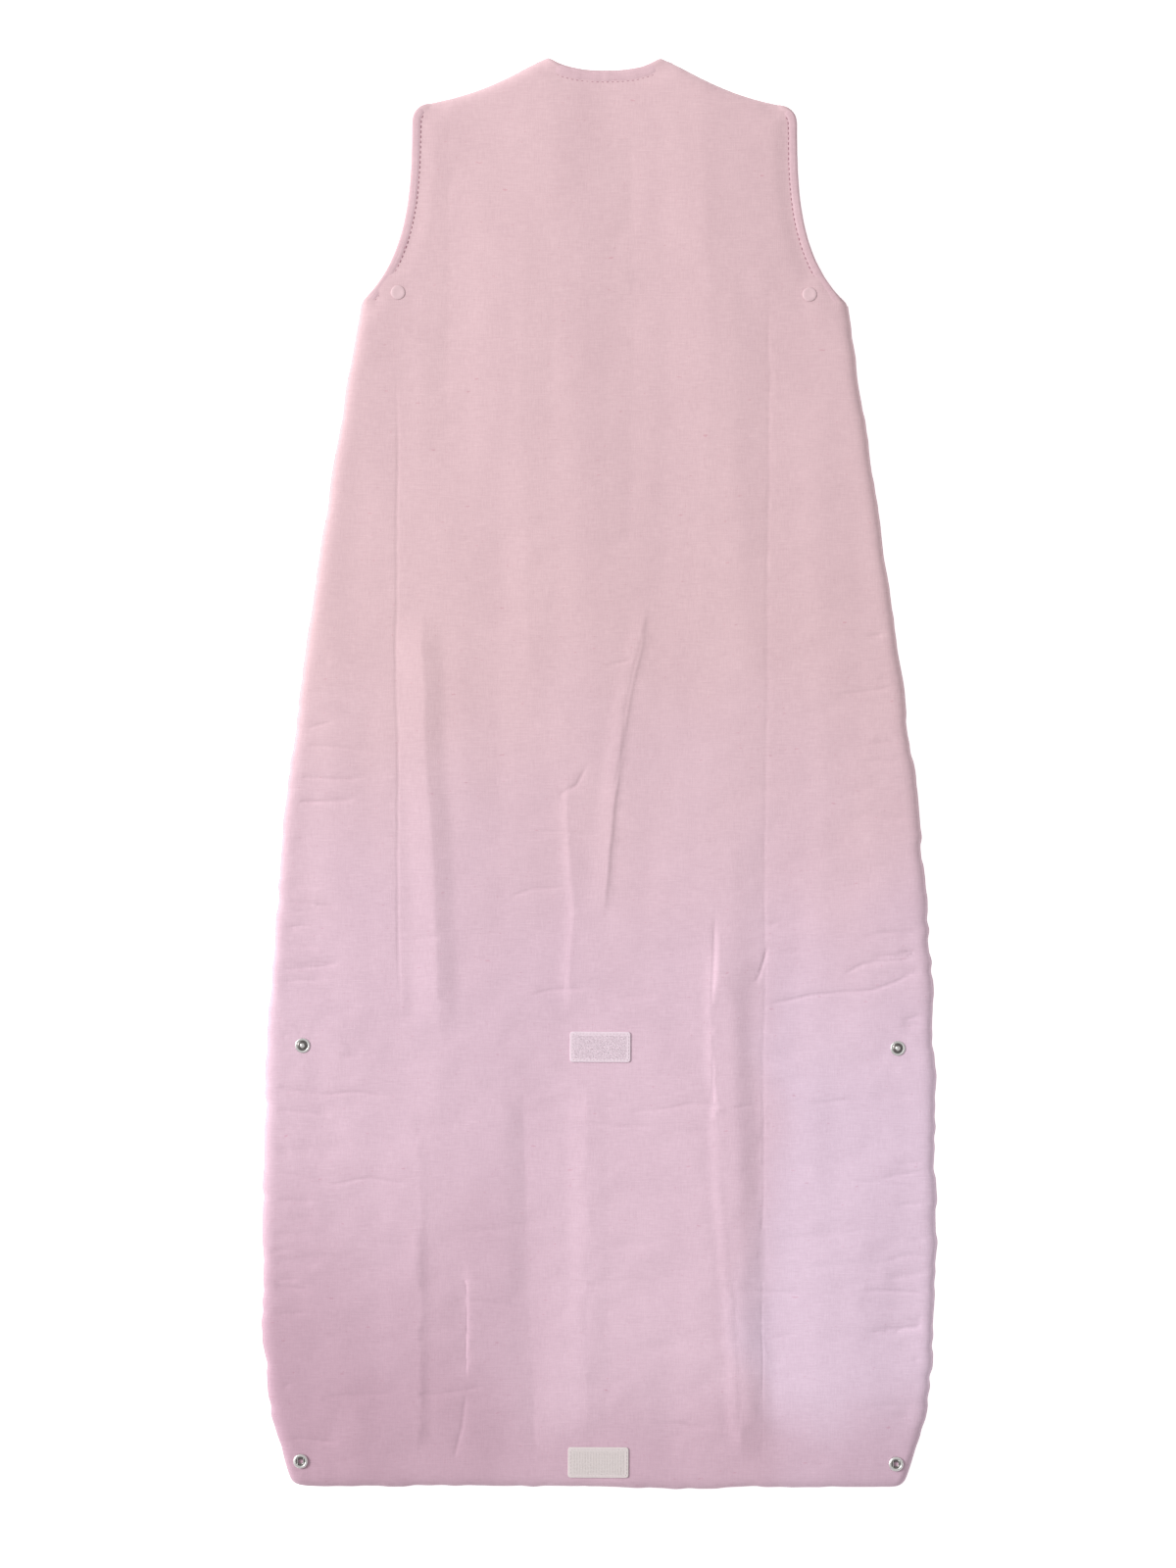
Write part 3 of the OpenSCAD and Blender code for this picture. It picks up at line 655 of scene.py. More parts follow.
def all_along(path, direction):
    """The same direction at each point of a path."""
    return np.tile(np.array(direction, float), (len(path), 1))


# ---------------------------------------------------------------- materials
def colour(r, g, b):
    """A linear colour from one given as 0 to 255 on a screen."""
    return tuple(((c / 255 + 0.055) / 1.055) ** 2.4 if c > 10 else c / 3294.6 for c in (r, g, b)) + (1,)


def shade(tone, share):
    """A colour made darker."""
    return tuple(c * share for c in tone[:3]) + (1,)


class Nodes:
    """Short forms for building one material's nodes."""

    def __init__(self, name, roughness, metallic=0.0, sheen=0.0):
        self.material = bpy.data.materials.new(name)
        self.material.use_nodes = True
        self.tree = self.material.node_tree
        self.shader = self.tree.nodes["Principled BSDF"]
        self.shader.inputs["Roughness"].default_value = roughness
        self.shader.inputs["Metallic"].default_value = metallic
        self.shader.inputs["Sheen Weight"].default_value = sheen
        self.shader.inputs["Sheen Roughness"].default_value = 0.5

    def link(self, source, target):
        self.tree.links.new(source, target)

    def add(self, kind, **values):
        node = self.tree.nodes.new(kind)
        for key, value in values.items():
            setattr(node, key, value)
        return node

    def fill(self, socket, value):
        if isinstance(value, bpy.types.NodeSocket):
            self.link(value, socket)
        else:
            socket.default_value = value

    def math(self, operation, a, b=0.0):
        node = self.add("ShaderNodeMath", operation=operation)
        self.fill(node.inputs[0], a)
        self.fill(node.inputs[1], b)
        return node.outputs[0]

    def place(self, scale=(1, 1, 1), own=False):
        """The flat coordinates of a cloth in metres, or the object's own, scaled."""
        if own:
            source = self.add("ShaderNodeTexCoord").outputs["Object"]
        else:
            source = self.add("ShaderNodeUVMap", uv_map="flat").outputs[0]
        mapping = self.add("ShaderNodeMapping")
        mapping.inputs["Scale"].default_value = scale
        self.link(source, mapping.inputs["Vector"])
        return mapping.outputs[0]

    def noise(self, scale, detail, roughness, own=False):
        """Noise with scale cells to a metre along each axis of the flat or own coordinates."""
        vector = self.place(scale, own)
        node = self.add("ShaderNodeTexNoise")
        self.link(vector, node.inputs["Vector"])
        node.inputs["Scale"].default_value = 1.0
        node.inputs["Detail"].default_value = detail
        node.inputs["Roughness"].default_value = roughness
        return node.outputs[0]

    def span(self, value, low, high, to_low=0.0, to_high=1.0):
        node = self.add("ShaderNodeMapRange", interpolation_type="SMOOTHSTEP")
        self.link(value, node.inputs[0])
        for k, v in enumerate((low, high, to_low, to_high)):
            node.inputs[k + 1].default_value = v
        return node.outputs[0]

    def mix(self, factor, a, b, blend="MIX"):
        node = self.add("ShaderNodeMix", data_type="RGBA", blend_type=blend)
        self.fill(node.inputs[0], factor)
        self.fill(node.inputs[6], a)
        self.fill(node.inputs[7], b)
        return node.outputs[2]

    def finish(self, base, height=None, strength=0.3, depth=0.0004, rough=None):
        self.fill(self.shader.inputs["Base Color"], base)
        if rough is not None:
            self.link(rough, self.shader.inputs["Roughness"])
        if height is not None:
            bump = self.add("ShaderNodeBump")
            bump.inputs["Strength"].default_value = strength
            bump.inputs["Distance"].default_value = depth
            self.link(height, bump.inputs["Height"])
            self.link(bump.outputs[0], self.shader.inputs["Normal"])
        return self.material


def slub_cotton(name, warm, cool, deep_and_hem_shade=None, light=None, turned=False):
    """Plain-weave cotton with thick and thin threads, from a warm to a cool pink down its length.

    The deep tone darkens its lower left, and is also painted shade in a band along the hem. The light tone
    is painted light: its lower right made paler, in place of the light that the cloth's tilt there would
    catch."""
    n = Nodes(name, 0.92, sheen=0.15)
    weft = n.noise((1500, 90, 400) if turned else (90, 1500, 400), 2, 0.6)
    warp = n.noise((90, 1700, 400) if turned else (1700, 90, 400), 2, 0.6)
    streak = n.noise((70, 620, 1), 3, 0.6)
    slub = n.span(n.noise((46, 900, 300), 1, 0.4), 0.64, 0.74)
    fleck = n.span(n.noise((420, 520, 1), 1, 0.5), 0.69, 0.76)
    knot = n.span(n.noise((110, 330, 7), 1, 0.4), 0.76, 0.8)
    blotch = n.noise((22, 17, 1), 3, 0.6)
    band = n.noise((17, 1.6, 1), 2, 0.5)
    split = n.add("ShaderNodeSeparateXYZ")
    n.link(n.place(), split.inputs[0])
    across, place = split.outputs[0], split.outputs[1]
    drift = n.math("MULTIPLY", n.math("SUBTRACT", n.noise((7, 6, 1), 2, 0.5), 0.5), 0.16)
    place, across = n.math("ADD", place, drift), n.math("ADD", across, drift)
    base = n.mix(n.span(place, 0.14, -0.2), warm, cool)
    if deep_and_hem_shade:
        corner = n.math("MULTIPLY", n.span(place, -0.25, -0.5), n.span(across, 0.0, -0.19))
        base = n.mix(corner, base, deep_and_hem_shade)
    if light:
        # Painted light: the lower right made paler, in place of the light that the cloth's tilt there would
        # catch.
        corner = n.math("MULTIPLY", n.span(place, -0.05, -0.28), n.span(across, 0.1, 0.15))
        base = n.mix(corner, base, light)
        # Painted shade: the cloth made darker towards the hem.
        base = n.mix(n.span(place, -0.45, -0.53, 0.0, 0.6), base, deep_and_hem_shade)
    grid = n.noise((300, 300, 1), 3, 0.7)
    threads = n.math("ADD", weft, warp)
    darker, paler, rosy = (0.82, 0.78, 0.80, 1), (1.1, 1.11, 1.1, 1), (0.9, 0.74, 0.78, 1)
    for factor, tone in (
        (n.span(threads, 0.75, 1.25, 0.4, 0.0), darker),
        (n.span(grid, 0.3, 0.7, 0.2, 0.0), darker),
        (n.span(streak, 0.35, 0.7, 0.0, 0.3), paler),
        (n.span(blotch, 0.3, 0.7, 0.16, 0.0), darker),
        (n.span(band, 0.38, 0.62, 0.0, 0.55), paler),
        (n.math("MULTIPLY", slub, 0.5), paler),
        (n.math("MULTIPLY", fleck, 0.5), rosy),
        (n.math("MULTIPLY", knot, 0.8), rosy),
    ):
        base = n.mix(factor, base, tone, "MULTIPLY")
    height = n.math("ADD", threads, n.math("MULTIPLY", slub, 0.6))
    return n.finish(base, height, 0.4, 0.00035)


def fleece(name, tone):
    """Lofty fibre wadding."""
    n = Nodes(name, 0.95, sheen=0.3)
    fibre = n.noise((260, 260, 260), 5, 0.7, own=True)
    tuft = n.noise((60, 60, 60), 3, 0.6, own=True)
    darker = shade(tone, 0.85)
    base = n.mix(n.span(tuft, 0.35, 0.65), darker, tone)
    return n.finish(base, n.math("ADD", fibre, tuft), 0.8, 0.0012)


def woven_tape(name, tone):
    """Narrow tape with a fine rib along its length."""
    n = Nodes(name, 0.88, sheen=0.12)
    rib = n.noise((1800, 220, 500), 1, 0.4, own=True)
    cross = n.noise((300, 1700, 500), 1, 0.4, own=True)
    weave = n.math("ADD", rib, cross)
    darker = shade(tone, 0.84)
    return n.finish(n.mix(n.span(weave, 0.75, 1.2, 0.5, 0.0), tone, darker), weave, 0.5, 0.0003)


def plastic(name, tone, rough=0.45):
    """Moulded plastic with a faint mottle."""
    n = Nodes(name, rough)
    cloud = n.noise((160, 160, 160), 3, 0.5, own=True)
    grain = n.noise((2400, 2400, 2400), 2, 0.5, own=True)
    darker = shade(tone, 0.93)
    base = n.mix(n.span(cloud, 0.35, 0.7), tone, darker)
    return n.finish(base, grain, 0.12, 0.0002, n.span(cloud, 0.3, 0.7, rough - 0.06, rough + 0.08))


def plated(name, tone, rough):
    """Nickel-plated metal with fine wear."""
    n = Nodes(name, rough, metallic=1.0)
    wear = n.noise((900, 900, 900), 4, 0.6, own=True)
    scratch = n.noise((300, 2600, 900), 2, 0.5, own=True)
    darker = shade(tone, 0.78)
    base = n.mix(n.span(wear, 0.45, 0.75, 0.0, 0.7), tone, darker)
    return n.finish(base, scratch, 0.10, 0.0001, n.span(wear, 0.3, 0.75, rough - 0.08, rough + 0.18))


def pile(name, tone, scale):
    """The fuzzy face of hook-and-loop tape."""
    n = Nodes(name, 0.95, sheen=0.35)
    tuft = n.noise((scale, scale, scale), 3, 0.65, own=True)
    broad = n.noise((140, 140, 140), 2, 0.5, own=True)
    darker = shade(tone, 0.86)
    base = n.mix(n.span(tuft, 0.38, 0.62, 0.6, 1.0), darker, tone)
    base = n.mix(n.span(broad, 0.5, 0.8, 0.0, 0.25), base, darker)
    return n.finish(base, tuft, 0.4, 0.0004)


# Each look is a material and the name of a slot.
OUTER = slub_cotton(
    # The deep tone is a darker lower left and also painted shade along the hem; the light tone is painted
    # light at the lower right.
    "outer_cotton", colour(209, 178, 183), colour(209, 180, 194), deep_and_hem_shade=colour(186, 153, 168),
    light=colour(211, 187, 204),
), "outer_cloth"
LINING = slub_cotton("lining_cotton", colour(213, 186, 190), colour(213, 187, 197)), "lining_cloth"
BINDING = slub_cotton(
    "binding_cotton", colour(208, 175, 180), colour(207, 177, 188), turned=True
), "binding"
FILL = fleece("wadding_fleece", colour(240, 238, 233)), "wadding"
TAPE = woven_tape("zip_tape_weave", colour(203, 170, 176)), "zip_tape"
COIL = plastic("zip_coil_nylon", colour(210, 180, 186), 0.4), "zip_teeth"
THREAD = woven_tape("sewing_thread", colour(158, 104, 120)), "binding"
PALE_THREAD = woven_tape("pale_thread", colour(214, 198, 204))
SNAP_PINK = plastic("snap_pink_plastic", colour(211, 181, 186), 0.62), "plastic_snap"
NICKEL = plated("nickel_plate", colour(226, 224, 222), 0.34)
ZIP_METAL, SNAP_METAL = (NICKEL, "zip_metal"), (NICKEL, "metal_snap")
# Darker nickel that is painted shade, for the hollows of the studs and sockets.
SNAP_SHADE = plated("nickel_painted_shade", colour(120, 116, 114), 0.36), "metal_snap"
PILES = {
    "loop": pile("loop_pile", colour(222, 203, 213), 1500),
    "hook": pile("hook_pile", colour(209, 199, 198), 1900),
}
LABEL = woven_tape("label_satin", colour(228, 224, 220)), "label"


def dress(obj, look):
    """Gives a piece its look."""
    material, slot = look
    obj.data.materials.clear()
    obj.data.materials.append(material)
    return obj


def fold(obj, look, *nodes):
    """Gives its look to a piece that runs from the bag across the fold line to its foot part, hides the CAD
    nodes that it replaces, and bakes its placing into its points.
    """
    dress(obj, look)
    if nodes:
        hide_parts(*nodes)
    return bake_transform(obj)


def ride(obj, look, body, *nodes):
    """Fixes a piece to one body, in place of CAD nodes."""
    dress(obj, look)
    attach(obj, body)
    if nodes:
        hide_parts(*nodes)
    return obj


# ---------------------------------------------------------------- the padded panels
PUFF = 0.75
FOLDED_ROOM = 11.3  # the most that the back may stand above MID where it folds on itself
CLOTH_T = 0.55
PATCHES = [(0.0, STUD[1]), (0.0, SOCKET[1])]


def on_patch(xy, height, centre, level, reach=16):
    """Heights levelled under a sewn patch."""
    d = np.abs(xy - centre) - [PATCH_L / 2 + 1, PATCH_W / 2 + 1]
    away = np.hypot(*np.maximum(d, 0).T)
    return level + (height - level) * smooth(away / reach)


def back_surface(xy, ds, db):
    """Heights above MID of the back's outer face and of its lining."""
    y = xy[:, 1]
    puff = PUFF - 0.45 * smooth((-150 - y) / 60)
    high, low = profile(ds, db, back_relief(xy), puff)
    room = FOLDED_ROOM + 1.6 * smooth((y + 185) / 25)
    high = room - np.logaddexp(0, 7 * (room - high)) / 7 + np.log(2) / 7 * np.exp(-7 * abs(room - high))
    held = high
    for point in both_sides(STUD) + both_sides(SOCKET):
        held = pinch(xy, held, point, 6.4, 21, SEAT)
    for point in both_sides(SNAP):
        held = pinch(xy, held, point, 6.2, 20, SEAT, folds=5, depth=0.14)
    for centre in PATCHES:
        held = on_patch(xy, held, centre, SEAT)
    return high + (held - high) * smooth((np.minimum(ds, db) - 0.3) / 5), low


def front_surface(xy, ds, db, seed):
    """Heights below MID of a front's outer face and of its lining. It lies on the floor."""
    x, y = xy[:, 0], xy[:, 1]
    dz = x - ZIP_EDGE
    relief = 0.4 * noise(x / 42, y / 110, seed) + 0.25 * noise(x / 20, y / 52, seed + 1)
    relief += 0.1 * noise(x / 9, y / 8, seed + 2) - 0.55
    relief += 0.3 * (sway(y / 7.5, 2, seed + 3) - 0.6) * np.exp(-dz / 9)
    high, low = profile(ds, db, np.minimum(relief, -0.02), 0.0)
    near = smooth(ds / 8) * smooth(db / 3)
    high -= 4.6 * (1 - swell(dz, 5)) * near
    low = low + 0.5 * (1 - smooth((dz - 9) / 6)) * near
    held = pinch(xy, high, np.array(SNAP), 6.2, 22, 8.75, folds=5, depth=0.2)
    high += (held - high) * smooth((np.minimum(ds, db) - 0.3) / 5)
    return np.minimum(high, MID - 0.05), low


def cloth_piece(name, points, faces, uv, step, nodes, look):
    """A cloth with a little thickness, which replaces its CAD nodes."""
    lower = points + step
    top, under = (points, lower) if step[:, 2].mean() < 0 else (lower, points)
    obj = fold(shell(name, top, under, faces, uv), look, *nodes)


def thickness(ds, full):
    """A cloth's thickness, which is pressed thin at a sewn edge."""
    return 0.05 + (full - 0.05) * smooth(ds / 6)


def make_back():
    """The back's outer cloth, wadding and lining."""
    xy, faces, ds, db = panel_cloth("back", SPACING, crease_lines())
    high, _ = back_surface(xy, ds, db)
    points = np.column_stack([wavy_edge(xy, ds, 1.0), MID + high])
    free = smooth((ds - 6) / 40) * smooth((db - 8) / 30)
    for point in both_sides(STUD) + both_sides(SOCKET) + both_sides(SNAP):
        free *= smooth((np.hypot(*(xy - point).T) - 8) / 24)
    for centre in PATCHES:
        away = np.abs(xy - centre) - [PATCH_L / 2 + 2, PATCH_W / 2 + 2]
        free *= smooth(np.hypot(*np.maximum(away, 0).T) / 24)
    limit = 0.18 + 0.3 * smooth((120 - xy[:, 1]) / 300)
    moved = settle(points, faces, np.round(1 - 0.93 * free, 2), 0.16, limit)
    points += (moved - points) * free[:, None]
    step = np.column_stack([xy * 0, -thickness(ds, CLOTH_T)])
    cloth_piece("back_outer_cloth", points, faces, xy, step, ["back_outer", "foot_back_outer"], OUTER)

    xy, faces, ds, db = panel_cloth("back", 7.5)
    high, low = back_surface(xy, ds, db)
    edge = wavy_edge(xy, ds, 1.0)
    low += 0.2 * noise(xy[:, 0] / 34, xy[:, 1] / 70, 41) * smooth((ds - 8) / 14)
    top = np.column_stack([edge, MID + high - 1.5])
    under = np.column_stack([edge, MID + low + 0.75])
    keep = (ds > 4.5) & (db > 6) & (top[:, 2] - under[:, 2] > 0.8)
    pad = shell("back_wadding_pad", top, under, faces, xy, keep)
    fold(pad, FILL, "back_wadding", "foot_back_wadding")
    step = np.column_stack([xy * 0, thickness(ds, CLOTH_T)])
    cloth_piece("back_lining_cloth", np.column_stack([edge, MID + low]), faces, xy, step,
                ["back_lining", "foot_back_lining"], LINING)


def make_front(side, sign, seed):
    """One front's outer cloth, wadding and lining."""
    flip = np.array([sign, 1, 1])

    def turned(faces):
        return faces if sign > 0 else [f[::-1] for f in faces]

    def nodes(layer):
        return [f"front_{side}_{layer}", f"foot_front_{side}_{layer}"]

    xy, faces, ds, db = panel_cloth("front", 4.4)
    high, _ = front_surface(xy, ds, db, seed)
    points = np.column_stack([wavy_edge(xy * flip[:2], ds, 1.0), MID - high])
    step = np.column_stack([xy * 0, thickness(ds, CLOTH_T)])
    cloth_piece(f"front_{side}_outer_cloth", points, turned(faces), xy * flip[:2], step, nodes("outer"),
                OUTER)

    xy, faces, ds, db = panel_cloth("front", 7.5)
    high, low = front_surface(xy, ds, db, seed)
    edge = wavy_edge(xy * flip[:2], ds, 1.0)
    top = np.column_stack([edge, MID - low - 0.75])
    under = np.column_stack([edge, MID - high + 1.2])
    keep = (ds > 4.5) & (db > 6) & (xy[:, 0] > ZIP_EDGE + 10.5) & (top[:, 2] - under[:, 2] > 0.8)
    pad = shell(f"front_{side}_wadding_pad", top, under, turned(faces), xy * flip[:2], keep)
    fold(pad, FILL, *nodes("wadding"))
    step = np.column_stack([xy * 0, -thickness(ds, CLOTH_T)])
    cloth_piece(f"front_{side}_lining_cloth", np.column_stack([edge, MID - low]), turned(faces),
                xy * flip[:2], step, nodes("lining"), LINING)


# ---------------------------------------------------------------- seams and bindings
HEM_SPLIT = 215.0


def seam_strip(path):
    """The middle line, and the inward direction, of the narrow rolled edge of a seam."""
    p = resample(path, 2.2)
    inward = -normals_2d(p)
    xy = wavy_edge(p, np.zeros(len(p)), 1.0) + 0.55 * inward
    return np.column_stack([xy, np.full(len(p), MID)]), np.column_stack([inward, np.zeros(len(p))])


def join(name, objects):
    """One object of several meshes."""
    total = bmesh.new()
    for obj in objects:
        total.from_mesh(obj.data)
    mesh = bpy.data.meshes.new(name)
    total.to_mesh(mesh)
    total.free()
    mesh.polygons.foreach_set("use_smooth", [True] * len(mesh.polygons))
    for obj in objects:
        old = obj.data
        bpy.data.objects.remove(obj)
        bpy.data.meshes.remove(old)
    out = bpy.data.objects.new(name, mesh)
    bpy.context.scene.collection.objects.link(out)
    return out


def make_seams():
    """The narrow rolled edges where the back is sewn to the fronts, and the zip's end at the hem."""
    _, shoulder, _, seam = right_edges(BACK_NECK, 0)
    section = rounded_section(0.95, 0.42, 10)
    on_hem = (seam[:, 1] < HEM + 1) & (seam[:, 0] < HEM_SPLIT + 0.1)
    split = int(np.argmax(on_hem))
    corner = np.array([[HEM_SPLIT, HEM]])
    side_path = np.vstack([seam[:split], corner])
    hem_path = np.array([[HEM_SPLIT, HEM], [-HEM_SPLIT, HEM]])
    for side, path in (("right", side_path), ("left", mirrored(side_path))):
        obj, _ = sweep(f"{side}_side_seam_edge", *seam_strip(path), section)
        fold(obj, OUTER, f"{side}_side_seam", f"foot_{side}_side_seam")
    tack = np.array([[0, HEM + 1.3, 2.4], [0, HEM + 1.0, 5.5], [0, HEM + 0.8, 9.6]])
    tack = resample(tack, 0.6)
    hem = sweep("edge", *seam_strip(hem_path), section)[0]
    tack = sweep("tack", tack, all_along(tack, ACROSS), rounded_section(9.5, 0.45, 24, 0.5))[0]
    ride(join("hem_seam_edge", [hem, tack]), OUTER, "foot", "hem_seam")
    both = [sweep("shoulder", *seam_strip(p), section)[0] for p in (shoulder, mirrored(shoulder))]
    ride(join("shoulder_seam_edges", both), OUTER, "bag", "shoulder_seams")


def binding_section(half_w, half_h, groove):
    """A folded binding's section, with the dent that its stitching makes near its inner edge."""
    section = rounded_section(half_w, half_h, 28, 0.62)
    dent = 1 - 0.2 * np.exp(-(((section[:, 0] - groove) / 0.55) ** 2))
    return section * np.column_stack([np.ones(len(section)), dent])


def binding(name, runs, width, half_h, node, closed, seed):
    """A binding that wraps a raw edge. Each run is (edge path, +1 on the back or -1 on the front)."""
    _, shoulder, _, seam = right_edges(BACK_NECK, 0)
    sewn = [shoulder, seam, mirrored(shoulder), mirrored(seam)]
    end_gap = half_h - 0.1  # its ends stop this far from a seam, about half its thickness
    points, sides = [], []
    for path, level, turn in runs:
        p = resample(path, 0.4)
        ds = np.min([distance(p, q) for q in sewn], axis=0)
        kept = ds >= end_gap
        p, ds = p[kept], ds[kept] - end_gap
        inward = -normals_2d(p) * turn
        xy = wavy_edge(p, ds, 1.0) + (width / 2 - 0.4) * inward
        points.append(np.column_stack([xy, MID + level * RISE * swell(ds, RISE_REACH)]))
        sides.append(np.column_stack([inward, np.zeros(len(p))]))
    line, side = np.vstack(points), np.vstack(sides)
    step = np.linalg.norm(np.diff(line, axis=0), axis=1)
    fresh = np.concatenate([[True], step > 0.02])
    line, side = line[fresh], side[fresh]
    both = resample(np.column_stack([line, side * 0.001]), 1.5)
    line, side = both[:, :3], both[:, 3:] * 1000
    if closed:
        line, side = line[:-1], side[:-1]
    kernel = np.array([1, 2, 3, 2, 1]) / 9
    for _ in range(2):
        if closed:
            line, side = (sum(k * np.roll(p, i - 2, 0) for i, k in enumerate(kernel)) for p in (line, side))
        else:
            for p in (side, line):
                p[2:-2] = sum(k * p[i: len(p) - 4 + i] for i, k in enumerate(kernel))
    s = lengths(line)
    groove = width / 2 - 1.3
    section = binding_section(width / 2 + 0.35, half_h, groove)
    pucker = 1 + 0.05 * sway(s / 4.5, 1, seed) + 0.05 * sway(s / 15, 5, seed + 1)
    rings = section[None] * np.stack([1 + 0.35 * (pucker - 1), pucker], axis=1)[:, None, :]
    obj, made = sweep(name, line, side, rings, closed)
    ride(obj, BINDING, "bag", node)
    rows = []
    for sign in (1, -1):
        k = int(np.argmin(np.hypot(section[:, 0] - groove, section[:, 1] - sign * 0.9 * half_h)))
        row = made[:, k]
        rows.append((row, row - (line + groove * side)))
    thread = stitches(name + "_stitches", rows, pitch=3.9, length=3.15, radius=0.26)
    ride(thread, THREAD, "bag")


def make_bindings():
    """The bindings of both armholes and of the neck."""
    neck, _, arm, _ = right_edges(BACK_NECK, 0)
    front_neck = right_edges(FRONT_NECK, ZIP_EDGE + 0.5)[0]
    for side, sign in (("right", 1), ("left", -1)):
        flip = np.array([sign, 1])
        runs = [(arm * flip, 1, sign), (arm[::-1] * flip, -1, -sign)]
        node = f"{side}_armhole_binding"
        binding(node + "_tape", runs, ARM_BIND, BIND_HALF, node, True, 60 + sign)
    right = [(front_neck, -1, 1), (neck[::-1], 1, -1)]
    left = [(neck * [-1, 1], 1, -1), (mirrored(front_neck), -1, 1)]
    binding("neck_binding_tape", right + left, NECK_BIND, BIND_HALF, "neck_binding", False, 70)


# ---------------------------------------------------------------- cast and moulded parts
def cast(name, outline, low, high, holes=(), edge=0.3, step=0.0):
    """A flat part with rounded edges, and holes through it."""
    outline = np.array(outline, float)
    loops = [np.vstack([p, p[:1]]) for p in (outline, *[np.array(h, float) for h in holes])]
    points, edges = [], []
    for loop in loops:
        p = resample(loop, max(1.5 * edge, step))[:-1]
        base = sum(len(q) for q in points)
        edges += [(base + i, base + (i + 1) % len(p)) for i in range(len(p))]
        points.append(p)
    closed = [np.vstack([p, p[:1]]) for p in points]
    for p in list(points):
        tangent = np.roll(p, -1, 0) - np.roll(p, 1, 0)
        n = np.stack([-tangent[:, 1], tangent[:, 0]], 1) / np.linalg.norm(tangent, axis=1)[:, None]
        for off in (0.1, 0.35, 0.65, 1.0, 2.2):
            for q in (p + n * off * edge, p - n * off * edge):
                away = np.min([distance(q, c) for c in closed], axis=0)
                ok = (away > 0.9 * off * edge) & inside(q, outline)
                for hole in holes:
                    ok &= ~inside(q, np.array(hole, float))
                points.append(q[ok])
    every = np.vstack(points)
    out = delaunay_2d_cdt([Vector(p) for p in every], edges, [], 1, 1e-4)
    xy = np.array([[v.x, v.y] for v in out[0]])
    faces = np.array(out[2])
    middle = xy[faces].mean(axis=1)
    ok = inside(middle, outline)
    for hole in holes:
        ok &= ~inside(middle, np.array(hole, float))
    faces = faces[ok]
    a, b, c = (xy[faces[:, k]] for k in range(3))
    if np.cross(b - a, c - a).sum() < 0:
        faces = faces[:, ::-1]
    d = np.min([distance(xy, c) for c in closed], axis=0)
    round_off = edge * (1 - swell(d, edge, 2.0))
    top = np.column_stack([xy, high - round_off])
    under = np.column_stack([xy, low + round_off])
    return shell(name, top, under, faces, xy)


def placed(outline, y, sign):
    """A slider's or pull tab's outline, where the slider stands and turned its way."""
    return [(px, y + sign * py) for px, py in outline]


def slider(name, y, sign, node, body):
    """A zip slider, wide end towards sign, with a crown that holds its pull tab."""
    outline = [(-3.9, -6), (-2.6, -6.3), (2.6, -6.3), (3.9, -6), (4.5, -2.5), (4.8, 0), (4.8, 5), (4.1, 6),
               (1.2, 6.2), (0, 5.7), (-1.2, 6.2), (-4.1, 6), (-4.8, 5), (-4.8, 0), (-4.5, -2.5)]
    outline = placed(outline, y, sign)
    wedge = placed([(-0.35, 2.2), (0.35, 2.2), (0.35, 5.2), (-0.35, 5.2)], y, sign)
    parts = [
        cast("plate_a", outline, 1.9, 2.8, edge=0.32, step=0.5),
        cast("plate_b", outline, 5.5, 6.3, edge=0.3, step=0.5),
        cast("wedge", wedge, 2.6, 5.6, edge=0.12),
    ]
    rail = np.array([(3.4, -6), (3.9, -6), (4.8, 0), (4.8, 5.6), (4.2, 5.6), (4.2, 0)])
    for side in (1, -1):
        parts.append(cast("rail", placed(rail * [side, 1], y, sign), 2.6, 4.35, edge=0.14))
    t = np.linspace(0, 1, 24)
    along = -3.75 + 7.5 * t
    z = 2.0 - 1.38 * np.clip(1.28 * np.sin(math.pi * t) ** 0.55, 0, 1)
    path = np.column_stack([t * 0, y + sign * along, z])
    parts.append(sweep("crown", path, all_along(path, ACROSS), rounded_section(1.2, 0.34, 14))[0])
    ride(join(name, parts), ZIP_METAL, body, node)


def pull_tab(name, y, sign, node, body):
    """A pull tab that lies flat, with an eye round the crown's bar and a small hole at its tip."""
    tip_r, tip_y, hole_r = 2.7, -19.3, 1.2
    tip = [(tip_r * math.cos(k), tip_y - tip_r * math.sin(k)) for k in np.linspace(0, math.pi, 15)]
    waist = [(-2.35, -13), (-2.2, -9), (-2.5, -5.5), (-2.7, -3.4), (-2.7, -2.05), (2.7, -2.05), (2.7, -3.4),
             (2.5, -5.5), (2.2, -9), (2.35, -13)]
    eye = [(-1.6, -2.95), (1.6, -2.95), (1.6, -5.4), (1.1, -6.2), (-1.1, -6.2), (-1.6, -5.4)]
    turn = np.linspace(0, 2 * math.pi, 18, endpoint=False)
    hole = [(hole_r * math.cos(k), tip_y + hole_r * math.sin(k)) for k in turn]
    groove = [(-0.55, -10), (0.55, -10), (0.75, -15.8), (-0.75, -15.8)]
    floor = [(-0.8, -9.8), (0.8, -9.8), (1.0, -16), (-1.0, -16)]
    holes = [placed(p, y, sign) for p in (eye, hole, groove)]
    tab = cast("tab", placed(tip + waist, y, sign), 1.1, 1.8, holes, 0.24)
    floor = cast("floor", placed(floor, y, sign), 1.3, 1.6, edge=0.08)
    ride(join(name, [tab, floor]), ZIP_METAL, body, node)


# ---------------------------------------------------------------- the zip
def rows_down(low, high, step):
    """Places from high down to low, closer together at the fold."""
    out = [high]
    while out[-1] > low:
        near = abs(out[-1] - FOLD) < FOLD_REACH + 6
        out.append(max(low, out[-1] - (min(step, 2.0) if near else step)))
    return np.array(out)


TAPE_X, TAPE_Z, UNDERLAY_Z = 8.4, 5.05, 6.95
COIL_X, COIL_Z, COIL_R, COIL_RISE = 1.55, 3.9, 1.7, 0.6  # where each coil stands, and its half sizes
UNDERLAY_ENDS, UNDERLAY_W = (-542, 468.7), 31.0


